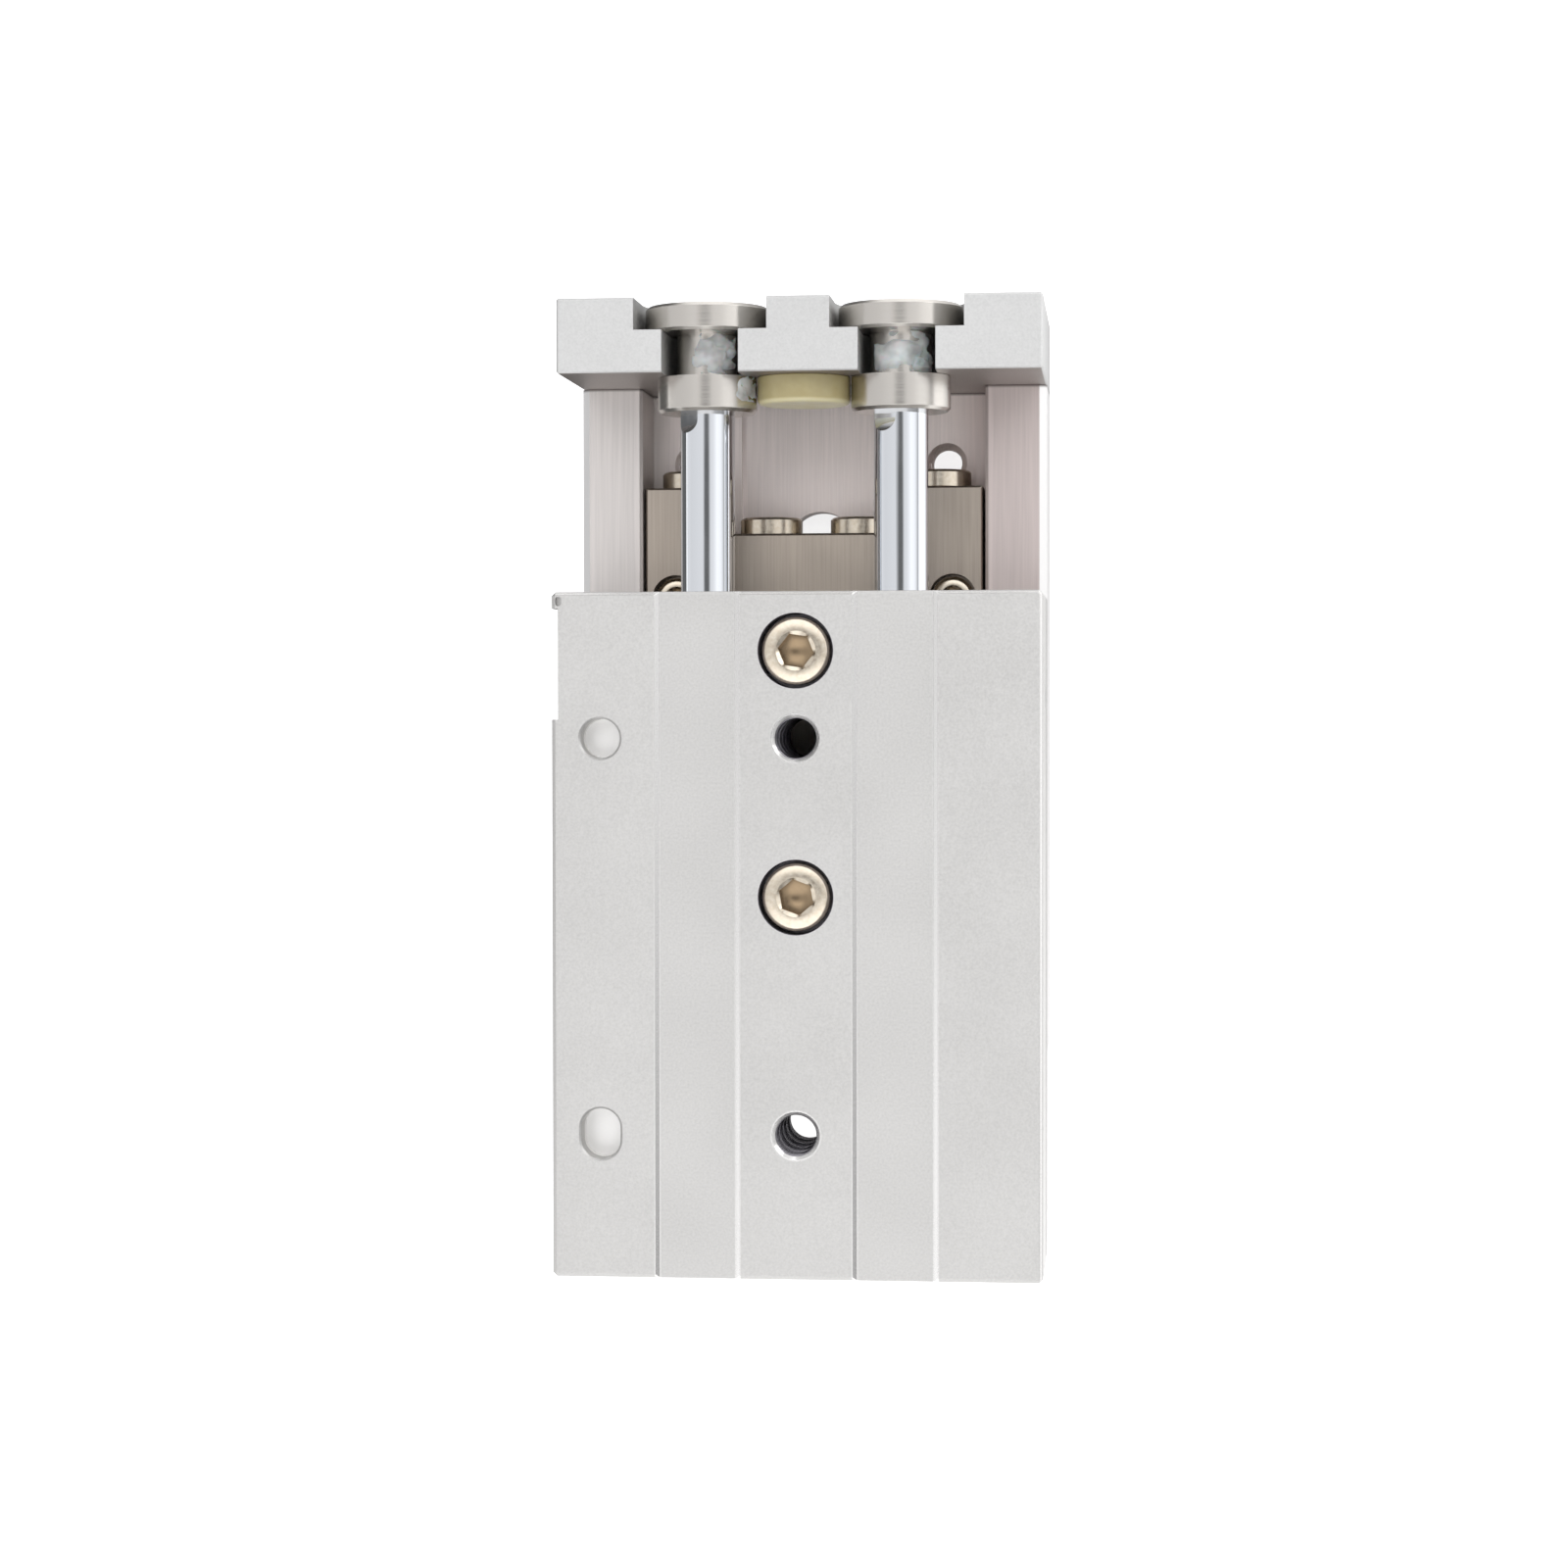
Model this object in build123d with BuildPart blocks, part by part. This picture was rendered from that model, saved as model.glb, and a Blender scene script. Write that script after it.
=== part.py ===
from build123d import *
import os
from math import cos, radians, sin, sqrt

# Slide table cylinder: two air pistons side by side push a table that runs on crossed rollers.
# Origin: centre line of the table's load face, level with the body's front end. Millimetres.
# +X is across the body, +Y is the way the table extends, +Z points out of the mounting face.
# The table is drawn pushed out by 24.2 of its 30 of stroke, as in its rest pose.

os.makedirs("parts", exist_ok=True)

# Body block
body_width = 62.0
body_length = 86.7
overall_height = 40.0
body_running_gap = 0.7
body_edge = 0.5

# Shallow channels along the mounting face, over the bores
channel_width = 10.7
channel_depth = 0.4
channel_slope = 0.5

# Bores and rods
bore_diameter = 16.0
bore_spacing = 25.0
bore_drop = 0.25
rod_diameter = 7.0

# Holes in the mounting face
mount_hole_diameter = 5.2
mount_hole_mouth = 6.1
mount_hole_front = 18.5
mount_hole_pitch = 50.0
pin_hole_diameter = 5.0
pin_hole_depth = 4.0
pin_hole_mouth = 0.28
pin_slot_length = 6.4
pin_hole_inset = 6.2
index_slot_width = 0.75
index_slot_length = 1.2
index_slot_depth = 0.8
index_slot_offset = 0.9
index_slot_front = 1.2

# Side notch near the front and the two sensor grooves
notch_depth = 0.85
notch_front = 2.1
notch_length = 14.0
sensor_groove_radius = 2.1
sensor_groove_centre = 2.6
sensor_groove_mouth = 2.6
sensor_groove_rise = 5.8

# Air ports and passages
port_diameter = 4.2
port_depth = 8.0
passage_diameter = 2.2
front_passage_lead = 1.55
rear_passage_lead = 3.0
plug_diameter = 3.0
plug_length = 3.0
plug_fit = 0.01

# Centre guide under the body
guide_width = 21.6
guide_length = 63.0
guide_overhang = 8.5
guide_running_gap = 0.5
guide_seat_depth = 0.5
guide_seat_clearance = 0.05
guide_edge = 0.3
guide_screw_front = 7.5
guide_screw_pitch = 31.0
access_diameter = 9.0
access_reach = 1.9
underside_counterbore_depth = 4.5

# Table
table_side_gap = 0.1
table_length = 88.0
table_extension = 27.9
table_plate = 5.0
table_wall_top = 15.8
table_wall_thickness = 8.1
table_edge = 1.0
table_inner_edge = 0.4
table_channel_width = 21.4
table_channel_depth = 1.0

# Threads of the table's load face and its openings over the mounting holes
load_thread_diameter = 4.2
load_thread_mouth = 5.4
load_thread_spacing = 34.4
load_thread_pitch = 30.0
load_thread_rows = 3
load_thread_front = 9.4

# Rails and crossed rollers
rail_length = 63.0
rail_setback = 13.2
rail_step = 0.3
rail_edge = 0.25
rail_wall_gap = 0.4
rail_screw_front = 14.7
rail_screw_pitch = 16.8
rail_screw_count = 3
rail_screw_shift = 1.2
roller_diameter = 3.0
roller_end_play = 0.1
roller_clearance = 0.02
roller_pitch = 4.2
roller_count = 10
roller_height = 10.5
rail_guide_gap = 1.3
cage_thickness = 0.7
cage_height = 7.6
cage_length = 44.0
cage_window_clearance = 0.08

# End plate
plate_thickness = 9.55
plate_step = 3.6
plate_edge = 0.25
slot_side_gap = 0.9
recess_side_gap = 0.5
recess_depth = 4.1
plate_thread_diameter = 4.2
plate_thread_inset = 4.9
plate_thread_drop = 2.0
plate_thread_depth = 8.0
plate_screw_inset = 4.4
plate_screw_low = 4.4
plate_screw_pitch = 8.2
pocket_clearance = 0.5

# End bumper
bumper_side_gap = 0.1
bumper_thickness = 3.6
bumper_stem_diameter = 6.0
bumper_stem_length = 4.0
bumper_edge = 0.4

# Floating bushes
bush_cap_diameter = 16.0
bush_cap_thickness = 3.5
bush_neck_diameter = 8.0
bush_collar_diameter = 12.8
bush_collar_thickness = 4.55
bush_float = 0.05
bush_edge = 0.4

# Rods
rod_stud_diameter = 5.0
rod_stud_length = 8.0
rod_flat_depth = 0.5
rod_flat_length = 0.9
rod_flat_cutter = 3.0
rod_flat_turns = {"left": 46.0, "right": 39.0}

# Pistons and what they carry
piston_length = 14.0
piston_clearance = 0.1
piston_groove_depth = 2.0
piston_seal_width = 2.6
magnet_width = 3.2
wear_ring_width = 3.0
wear_ring_thickness = 1.2
seal_clearance = 0.02
piston_nut_width = 8.0
piston_nut_height = 3.0
rod_tip = 0.5
piston_bumper_diameter = 12.0
piston_bumper_thickness = 1.5

# Rod covers, head caps and what seals and holds them
cover_length = 9.2
cap_length = 12.0
cap_setback = 1.2
cap_dimple_diameter = 3.0
cap_dimple_depth = 1.5
cover_clearance = 0.02
rod_clearance = 0.05
rod_seal_outer = 11.2
rod_seal_width = 2.8
o_ring_section = 1.25
o_ring_groove_width = 1.8
o_ring_groove_depth = 1.3
ring_thickness = 1.0
ring_width = 1.4
ring_groove_depth = 0.5
ring_lug_radius = 1.1
ring_lug_hole = 0.55
ring_gap_width = 5.0

# Clearances, threads and screws
thread_clearance = 0.05
hole_clearance = 0.25
head_clearance = 0.5
m3_head_clearance = 0.35
closing_gap = 0.1
collar_entry_gap = 0.4
stroke = 30.0
m5_head_diameter = 8.5
m5_head_height = 5.0
m5_key = 4.0
m5_key_depth = 2.5
head_sink = 0.4
guide_screw_length = 24.0
plate_screw_length = 14.0
m4_diameter = 4.0
m4_head_diameter = 7.0
m4_head_height = 4.0
m4_key = 3.0
m4_key_depth = 2.0
m4_head_clearance = 0.2
m3_diameter = 3.0
m3_head_diameter = 5.5
m3_head_height = 3.0
m3_key = 2.5
m3_key_depth = 1.5
m3_head_sink = 1.2
rail_screw_length = 10.0
stop_head_diameter = 8.3
stop_head_height = 2.35
stop_key = 2.0
stop_key_depth = 1.2
stop_screw_length = 8.0
guide_stop_inset = 4.75
rail_stop_shift = 0.65
screw_edge = 0.35
countersink_angle = 90.0
m5_diameter = 5.0

# Places worked out from the sizes above
half_width = body_width / 2
half_table = half_width - table_side_gap
table_wall_inner = half_table - table_wall_thickness
body_underside = table_wall_top + body_running_gap
bore_radius = bore_diameter / 2
rod_radius = rod_diameter / 2
rod_height = (overall_height + body_underside) / 2 - bore_drop
pin_hole_x = pin_hole_inset - half_width
port_x = (half_width + bore_spacing / 2 + bore_radius + ring_groove_depth) / 2
sensor_groove_height = body_underside + sensor_groove_rise
guide_underside = table_plate + guide_running_gap
rail_top = table_wall_top - rail_step
bore_x = {"left": -bore_spacing / 2, "right": bore_spacing / 2}
sides = {"left": -1, "right": 1}
mount_hole_ys = (-mount_hole_front, -mount_hole_front - mount_hole_pitch)
guide_screw_ys = (-guide_screw_front, -guide_screw_front - guide_screw_pitch)
guide_top = body_underside + guide_seat_depth
guide_rear = guide_overhang - guide_length
rail_front = table_extension - rail_setback
rail_rear = rail_front - rail_length
rail_inner = guide_width / 2 + rail_guide_gap
rail_outer = table_wall_inner - rail_wall_gap
rail_centre = (rail_inner + rail_outer) / 2
guide_stop_x = guide_width / 2 - guide_stop_inset
rail_stop_x = rail_centre - rail_stop_shift
rail_screw_x = rail_centre + rail_screw_shift
rail_screw_seat = rail_top - m3_head_sink - m3_head_height
rail_thread_reach = rail_screw_seat - rail_screw_length - table_plate - 2 * thread_clearance
rail_screw_first = rail_front - rail_screw_front
rail_screw_ys = [rail_screw_first - i * rail_screw_pitch for i in range(rail_screw_count)]
plate_front = table_extension + plate_thickness
plate_screw_seat = plate_front - head_sink - m4_head_height
plate_thread_reach = table_extension - plate_screw_seat + plate_screw_length + head_clearance
plate_top = overall_height - plate_step
plate_screw_x = half_table - plate_screw_inset
plate_screw_zs = (plate_screw_low, plate_screw_low + plate_screw_pitch)
plate_screw_places = [(side * plate_screw_x, z) for side in sides.values() for z in plate_screw_zs]
plate_thread_x = half_table - plate_thread_inset
plate_thread_height = rod_height - plate_thread_drop
slot_width = bush_neck_diameter + 2 * slot_side_gap
recess_width = bush_cap_diameter + 2 * recess_side_gap
bumper_diameter = bore_spacing - bush_collar_diameter - 2 * bumper_side_gap
retraction = table_extension - bumper_thickness - closing_gap
advance = stroke - retraction
collar_rear = table_extension - bush_float - bush_collar_thickness
cap_rear_y = plate_front - recess_depth + bush_float
cover_ring_front = collar_rear - retraction - closing_gap - collar_entry_gap
cover_front = cover_ring_front - ring_thickness - thread_clearance
cover_rear = cover_front - cover_length
piston_front = cover_rear - closing_gap - advance - piston_bumper_thickness
piston_rear = piston_front - piston_length
rod_end = piston_rear - piston_nut_height - rod_tip
head_ring_front = -body_length + cap_setback + ring_thickness + thread_clearance
head_cap_rear = head_ring_front
ring_outer = bore_radius + ring_groove_depth - thread_clearance
ring_inner = ring_outer - ring_width
ring_lug_x = (ring_gap_width + ring_lug_radius) / 2
ring_lug_z = -sqrt((ring_outer - ring_lug_radius) ** 2 - ring_lug_x ** 2)
head_cap_front = head_cap_rear + cap_length
o_ring_middle = bore_radius - o_ring_section / 2 - seal_clearance
front_passage_y = cover_rear - front_passage_lead
rear_passage_y = head_cap_front + rear_passage_lead
channel_side = roller_diameter + 2 * roller_clearance
groove_depth = channel_side / sqrt(2) - rail_guide_gap / 2
roller_x = guide_width / 2 + rail_guide_gap / 2
cage_centre = (guide_overhang + guide_rear + rail_front + rail_rear) / 4
load_thread_first = table_extension - load_thread_front
load_thread_ys = [load_thread_first - i * load_thread_pitch for i in range(load_thread_rows)]
access_ys = [y + retraction for y in mount_hole_ys]
pocket_top = guide_top + pocket_clearance
pocket_bottom = table_plate - table_channel_depth
pocket_depth = guide_overhang + stop_head_height + pocket_clearance + retraction - table_extension


def section(y, x=0.0, z=0.0):
    """A plane across the stroke: drawn in X and Z, it extrudes towards the rear."""
    return Plane(origin=(x, y, z), x_dir=(1, 0, 0), z_dir=(0, -1, 0))


def facing(x, y, z, way):
    """A plane at a point whose normal is the given way, for screws and cross drillings."""
    return Plane(origin=(x, y, z), z_dir=way)


def turning(x):
    """A plane through a bore's axis: drawn in Y and radius, it is revolved about that axis."""
    return Plane(origin=(x, 0, rod_height), x_dir=(0, 1, 0), z_dir=(1, 0, 0))


def bore_axis(x):
    """The axis of the bore at x."""
    return Axis((x, 0, rod_height), (0, 1, 0))


def cap_screw(diameter, length, head_diameter, head_height, key, key_depth):
    """A socket screw with its head's seat at the origin, the head up and the shank down."""
    with BuildPart() as screw:
        with BuildSketch(Plane.XY):
            Circle(head_diameter / 2)
        extrude(amount=head_height)
        chamfer(screw.edges().group_by(Axis.Z)[-1], screw_edge)
        with BuildSketch(Plane.XY):
            Circle(diameter / 2)
        extrude(amount=-length)
        chamfer(screw.edges().group_by(Axis.Z)[0], screw_edge)
        with BuildSketch(Plane.XY.offset(head_height)):
            RegularPolygon(key / 2, 6, major_radius=False)
        extrude(amount=-key_depth, mode=Mode.SUBTRACT)
    return screw.part


guide_screw = cap_screw(
    m5_diameter, guide_screw_length, m5_head_diameter, m5_head_height, m5_key, m5_key_depth
)
plate_screw = cap_screw(
    m4_diameter, plate_screw_length, m4_head_diameter, m4_head_height, m4_key, m4_key_depth
)
rail_screw = cap_screw(
    m3_diameter, rail_screw_length, m3_head_diameter, m3_head_height, m3_key, m3_key_depth
)
stop_screw = cap_screw(
    m3_diameter, stop_screw_length, stop_head_diameter, stop_head_height, stop_key, stop_key_depth
)

# Cylinder body: one block with both bores, the holes of the mounting face and the air passages
with BuildPart() as cylinder_body:
    with BuildSketch(section(0)):
        with Locations((0, (overall_height + body_underside) / 2)):
            Rectangle(body_width, overall_height - body_underside)
    extrude(amount=body_length)
    chamfer(cylinder_body.edges(), body_edge)
    # Channels of the mounting face, with sloping sides
    with BuildSketch(section(0)):
        for x in bore_x.values():
            Polygon(
                (x - channel_width / 2, overall_height),
                (x - channel_width / 2 + channel_slope, overall_height - channel_depth),
                (x + channel_width / 2 - channel_slope, overall_height - channel_depth),
                (x + channel_width / 2, overall_height),
                align=None,
            )
    extrude(amount=body_length, mode=Mode.SUBTRACT)
    # Seat of the centre guide
    with BuildSketch(section(0)):
        with Locations((0, body_underside + guide_seat_depth / 2)):
            Rectangle(guide_width + 2 * guide_seat_clearance, guide_seat_depth)
    extrude(amount=-guide_rear + guide_seat_clearance, mode=Mode.SUBTRACT)
    # Bores, with the grooves of the retaining rings at both ends
    with BuildSketch(section(0)):
        with Locations(*[(x, rod_height) for x in bore_x.values()]):
            Circle(bore_radius)
    extrude(amount=body_length, mode=Mode.SUBTRACT)
    for y in (cover_ring_front, head_ring_front):
        with BuildSketch(section(y)):
            with Locations(*[(x, rod_height) for x in bore_x.values()]):
                Circle(bore_radius + ring_groove_depth)
        extrude(amount=ring_thickness + thread_clearance, mode=Mode.SUBTRACT)
    # Counterbored holes of the guide screws
    with Locations(*[(0, y, overall_height) for y in guide_screw_ys]):
        CounterBoreHole(
            radius=m5_diameter / 2 + hole_clearance,
            counter_bore_radius=m5_head_diameter / 2 + head_clearance,
            counter_bore_depth=m5_head_height + head_sink,
        )
    # Threaded mounting holes, counterbored from below for screws put in from the table's side
    with Locations(*[(0, y, overall_height) for y in mount_hole_ys]):
        CounterSinkHole(
            radius=mount_hole_diameter / 2,
            counter_sink_radius=mount_hole_mouth / 2,
            counter_sink_angle=countersink_angle,
        )
    with BuildSketch(Plane.XY.offset(body_underside)):
        with Locations(*[(0, y) for y in mount_hole_ys]):
            Circle(access_diameter / 2)
    extrude(amount=underside_counterbore_depth, mode=Mode.SUBTRACT)
    # Round pin hole and oblong pin slot
    with Locations((pin_hole_x, mount_hole_ys[0], overall_height)):
        CounterSinkHole(
            radius=pin_hole_diameter / 2,
            counter_sink_radius=pin_hole_diameter / 2 + pin_hole_mouth,
            depth=pin_hole_depth,
            counter_sink_angle=countersink_angle,
        )
    with BuildSketch(Plane.XY.offset(overall_height)):
        with Locations((pin_hole_x, mount_hole_ys[1])):
            SlotOverall(pin_slot_length, pin_hole_diameter, rotation=90)
    extrude(amount=-pin_hole_depth, mode=Mode.SUBTRACT)
    with BuildSketch(Plane.XY.offset(overall_height)):
        with Locations((pin_hole_x, mount_hole_ys[1])):
            SlotOverall(
                pin_slot_length + 2 * pin_hole_mouth,
                pin_hole_diameter + 2 * pin_hole_mouth,
                rotation=90,
            )
    extrude(amount=-pin_hole_mouth, taper=countersink_angle / 2, mode=Mode.SUBTRACT)
    # Small index slot beside the notch
    with BuildSketch(Plane.XY.offset(overall_height)):
        with Locations((-half_width + index_slot_offset, -index_slot_front)):
            SlotOverall(index_slot_length, index_slot_width, rotation=90)
    extrude(amount=-index_slot_depth, mode=Mode.SUBTRACT)
    # Notch in the left side
    with BuildSketch(Plane.XY.offset(body_underside)):
        with Locations((-half_width + notch_depth / 2, -notch_front - notch_length / 2)):
            Rectangle(notch_depth, notch_length)
    extrude(amount=overall_height - body_underside, mode=Mode.SUBTRACT)
    # Sensor grooves along both sides
    with BuildSketch(section(0)):
        for side in sides.values():
            with Locations((side * (half_width - sensor_groove_centre), sensor_groove_height)):
                Circle(sensor_groove_radius)
            with Locations((side * (half_width - sensor_groove_centre / 2), sensor_groove_height)):
                Rectangle(sensor_groove_centre, sensor_groove_mouth)
    extrude(amount=body_length, mode=Mode.SUBTRACT)
    # Air ports in the rear end: left feeds the rear chambers, right feeds the front ones
    with BuildSketch(section(-body_length + port_depth)):
        with Locations(*[(side * port_x, rod_height) for side in sides.values()]):
            Circle(port_diameter / 2)
    extrude(amount=port_depth, mode=Mode.SUBTRACT)
    with BuildSketch(section(rear_passage_y)):
        with Locations((-port_x, rod_height)):
            Circle(passage_diameter / 2)
    extrude(amount=body_length + rear_passage_y, mode=Mode.SUBTRACT)
    with BuildSketch(section(front_passage_y)):
        with Locations((port_x, rod_height)):
            Circle(passage_diameter / 2)
    extrude(amount=body_length + front_passage_y, mode=Mode.SUBTRACT)
    # Cross drillings that join each passage to both bores, plugged at the side
    for way, y in ((-1, rear_passage_y), (1, front_passage_y)):
        with BuildSketch(facing(way * half_width, y, rod_height, (-way, 0, 0))):
            Circle(passage_diameter / 2)
        extrude(amount=half_width + bore_spacing / 2, mode=Mode.SUBTRACT)
        with BuildSketch(facing(way * half_width, y, rod_height, (-way, 0, 0))):
            Circle(plug_diameter / 2 + plug_fit)
        extrude(amount=plug_length, mode=Mode.SUBTRACT)
cylinder_body.part.label = "cylinder_body"
export_step(cylinder_body.part, "parts/cylinder_body.step")

# Plugs that close the outer ends of the cross drillings
with BuildPart() as passage_plugs:
    for way, y in ((-1, rear_passage_y), (1, front_passage_y)):
        with BuildSketch(facing(way * half_width, y, rod_height, (-way, 0, 0))):
            Circle(plug_diameter / 2)
        extrude(amount=plug_length)
passage_plugs.part.label = "passage_plugs"
export_step(passage_plugs.part, "parts/passage_plugs.step")

# Centre guide: ground steel with a V groove along each side for the rollers
with BuildPart() as guide_block:
    with BuildSketch(section(guide_overhang)):
        with Locations((0, (guide_top + guide_underside) / 2)):
            Rectangle(guide_width, guide_top - guide_underside)
    extrude(amount=guide_length)
    chamfer(guide_block.edges(), guide_edge)
    with BuildSketch(section(guide_overhang)):
        for side in sides.values():
            Polygon(
                (side * guide_width / 2, roller_height + groove_depth),
                (side * (guide_width / 2 - groove_depth), roller_height),
                (side * guide_width / 2, roller_height - groove_depth),
                align=None,
            )
    extrude(amount=guide_length, mode=Mode.SUBTRACT)
    with Locations(*[(0, y, guide_top) for y in guide_screw_ys]):
        Hole(radius=m5_diameter / 2 + thread_clearance)
    with Locations((0, mount_hole_ys[0], guide_top)):
        Hole(radius=access_diameter / 2)
    for way, y in ((1, guide_overhang), (-1, guide_rear)):
        for side in sides.values():
            with BuildSketch(facing(side * guide_stop_x, y, roller_height, (0, -way, 0))):
                Circle(m3_diameter / 2 + thread_clearance)
            extrude(amount=stop_screw_length + head_clearance, mode=Mode.SUBTRACT)
guide_block.part.label = "guide_block"
export_step(guide_block.part, "parts/guide_block.step")

# Socket screws that hold the guide to the body
with BuildPart() as guide_screws:
    with Locations(*[(0, y, overall_height - head_sink - m5_head_height) for y in guide_screw_ys]):
        add(guide_screw)
guide_screws.part.label = "guide_screws"
export_step(guide_screws.part, "parts/guide_screws.step")

# Stop screws in both ends of the guide, which keep the roller cages in
with BuildPart() as guide_stop_screws:
    for way, y in ((1, guide_overhang), (-1, guide_rear)):
        for side in sides.values():
            with Locations(facing(side * guide_stop_x, y, roller_height, (0, way, 0))):
                add(stop_screw)
guide_stop_screws.part.label = "guide_stop_screws"
export_step(guide_stop_screws.part, "parts/guide_stop_screws.step")

# Table: a plate with a wall along each side
with BuildPart() as table:
    with BuildSketch(section(table_extension)):
        with Locations((0, table_wall_top / 2)):
            Rectangle(2 * half_table, table_wall_top)
    extrude(amount=table_length)
    chamfer(table.edges().filter_by(Axis.Y).group_by(Axis.Z)[-1], table_edge)
    chamfer(table.edges().filter_by(Axis.Y).group_by(Axis.Z)[0], body_edge)
    with BuildSketch(section(table_extension)):
        with Locations((0, (table_wall_top + table_plate) / 2)):
            Rectangle(2 * table_wall_inner, table_wall_top - table_plate)
        with Locations((0, table_plate - table_channel_depth / 2)):
            Rectangle(table_channel_width, table_channel_depth)
        for side in sides.values():
            Polygon(
                (side * table_wall_inner, table_wall_top),
                (side * (table_wall_inner + table_inner_edge), table_wall_top),
                (side * table_wall_inner, table_wall_top - table_inner_edge),
                align=None,
            )
    extrude(amount=table_length, mode=Mode.SUBTRACT)
    # Threads of the load face
    for y in load_thread_ys:
        with Locations(*[(side * load_thread_spacing / 2, y, table_plate) for side in sides.values()]):
            CounterSinkHole(
                radius=load_thread_diameter / 2,
                counter_sink_radius=load_thread_mouth / 2,
                depth=table_plate,
                counter_sink_angle=countersink_angle,
            )
    # Oblong openings that reach the mounting holes when the table is closed
    with BuildSketch(Plane.XY):
        with Locations(*[(0, y + access_reach / 2) for y in access_ys]):
            SlotOverall(access_diameter + access_reach, access_diameter, rotation=90)
    extrude(amount=table_plate, mode=Mode.SUBTRACT)
    # Threads of the rail screws and of the end plate screws
    with BuildSketch(Plane.XY.offset(table_plate)):
        for y in rail_screw_ys:
            with Locations(*[(side * rail_screw_x, y) for side in sides.values()]):
                Circle(m3_diameter / 2 + thread_clearance)
    extrude(amount=rail_thread_reach, mode=Mode.SUBTRACT)
    with BuildSketch(section(table_extension)):
        with Locations(*plate_screw_places):
            Circle(m4_diameter / 2 + thread_clearance)
    extrude(amount=plate_thread_reach, mode=Mode.SUBTRACT)
table.part.label = "table"
export_step(table.part, "parts/table.step")

# End plate, with two stepped slots for the bushes and a pocket that clears the guide
with BuildPart() as end_plate:
    with BuildSketch(section(plate_front)):
        with Locations((0, plate_top / 2)):
            Rectangle(2 * half_table, plate_top)
    extrude(amount=plate_thickness)
    chamfer(end_plate.edges(), plate_edge)
    with BuildSketch(section(plate_front)):
        for x in bore_x.values():
            with Locations((x, rod_height)):
                Circle(slot_width / 2)
            with Locations((x, (plate_top + rod_height) / 2)):
                Rectangle(slot_width, plate_top - rod_height)
    extrude(amount=plate_thickness, mode=Mode.SUBTRACT)
    with BuildSketch(section(plate_front)):
        for x in bore_x.values():
            with Locations((x, rod_height)):
                Circle(recess_width / 2)
            with Locations((x, (plate_top + rod_height) / 2)):
                Rectangle(recess_width, plate_top - rod_height)
    extrude(amount=recess_depth, mode=Mode.SUBTRACT)
    # Pocket in the back that the guide's front end and its stop screws enter when the table closes
    with BuildSketch(section(table_extension + pocket_depth)):
        with Locations((0, (pocket_top + pocket_bottom) / 2)):
            Rectangle(guide_width + 2 * pocket_clearance, pocket_top - pocket_bottom)
    extrude(amount=pocket_depth, mode=Mode.SUBTRACT)
    # Counterbored holes of the plate's own screws
    with Locations(*[facing(x, plate_front, z, (0, 1, 0)) for x, z in plate_screw_places]):
        CounterBoreHole(
            radius=m4_diameter / 2 + hole_clearance,
            counter_bore_radius=m4_head_diameter / 2 + m4_head_clearance,
            counter_bore_depth=m4_head_height + head_sink,
            depth=plate_thickness,
        )
    # Threads for what is fastened to the end plate
    for side in sides.values():
        with Locations(facing(side * plate_thread_x, plate_front, plate_thread_height, (0, 1, 0))):
            Hole(radius=plate_thread_diameter / 2, depth=plate_thread_depth)
    # Hole of the bumper's stem
    with BuildSketch(Plane(origin=(0, table_extension, rod_height), x_dir=(1, 0, 0), z_dir=(0, 1, 0))):
        Circle(bumper_stem_diameter / 2)
    extrude(amount=bumper_stem_length, mode=Mode.SUBTRACT)
end_plate.part.label = "end_plate"
export_step(end_plate.part, "parts/end_plate.step")

# Socket screws that hold the end plate to the table
with BuildPart() as end_plate_screws:
    with Locations(*[facing(x, plate_screw_seat, z, (0, 1, 0)) for x, z in plate_screw_places]):
        add(plate_screw)
end_plate_screws.part.label = "end_plate_screws"
export_step(end_plate_screws.part, "parts/end_plate_screws.step")

# Rubber-like bumper under the end plate, held by its stem
with BuildPart() as end_bumper:
    with BuildSketch(section(table_extension, 0, rod_height)):
        Circle(bumper_diameter / 2)
    extrude(amount=bumper_thickness)
    fillet(end_bumper.edges().group_by(Axis.Y)[0], bumper_edge)
    with BuildSketch(section(table_extension, 0, rod_height)):
        Circle(bumper_stem_diameter / 2)
    extrude(amount=-bumper_stem_length)
end_bumper.part.label = "end_bumper"
export_step(end_bumper.part, "parts/end_bumper.step")

# Rails: ground steel, bolted inside the table's walls, with the rollers' V groove inward
for name, side in sides.items():
    with BuildPart() as rail:
        with BuildSketch(section(rail_front)):
            with Locations((side * rail_centre, (rail_top + table_plate) / 2)):
                Rectangle(rail_outer - rail_inner, rail_top - table_plate)
        extrude(amount=rail_length)
        chamfer(rail.faces().sort_by(Axis.Z)[-1].edges(), rail_edge)
        with BuildSketch(section(rail_front)):
            Polygon(
                (side * rail_inner, roller_height + groove_depth),
                (side * (rail_inner + groove_depth), roller_height),
                (side * rail_inner, roller_height - groove_depth),
                align=None,
            )
        extrude(amount=rail_length, mode=Mode.SUBTRACT)
        with Locations(*[(side * rail_screw_x, y, rail_top) for y in rail_screw_ys]):
            CounterBoreHole(
                radius=m3_diameter / 2 + hole_clearance,
                counter_bore_radius=m3_head_diameter / 2 + m3_head_clearance,
                counter_bore_depth=m3_head_height + m3_head_sink,
            )
        for way, y in ((1, rail_front), (-1, rail_rear)):
            with BuildSketch(facing(side * rail_stop_x, y, roller_height, (0, -way, 0))):
                Circle(m3_diameter / 2 + thread_clearance)
            extrude(amount=stop_screw_length + head_clearance, mode=Mode.SUBTRACT)
    rail.part.label = f"rail_{name}"
    export_step(rail.part, f"parts/rail_{name}.step")

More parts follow.
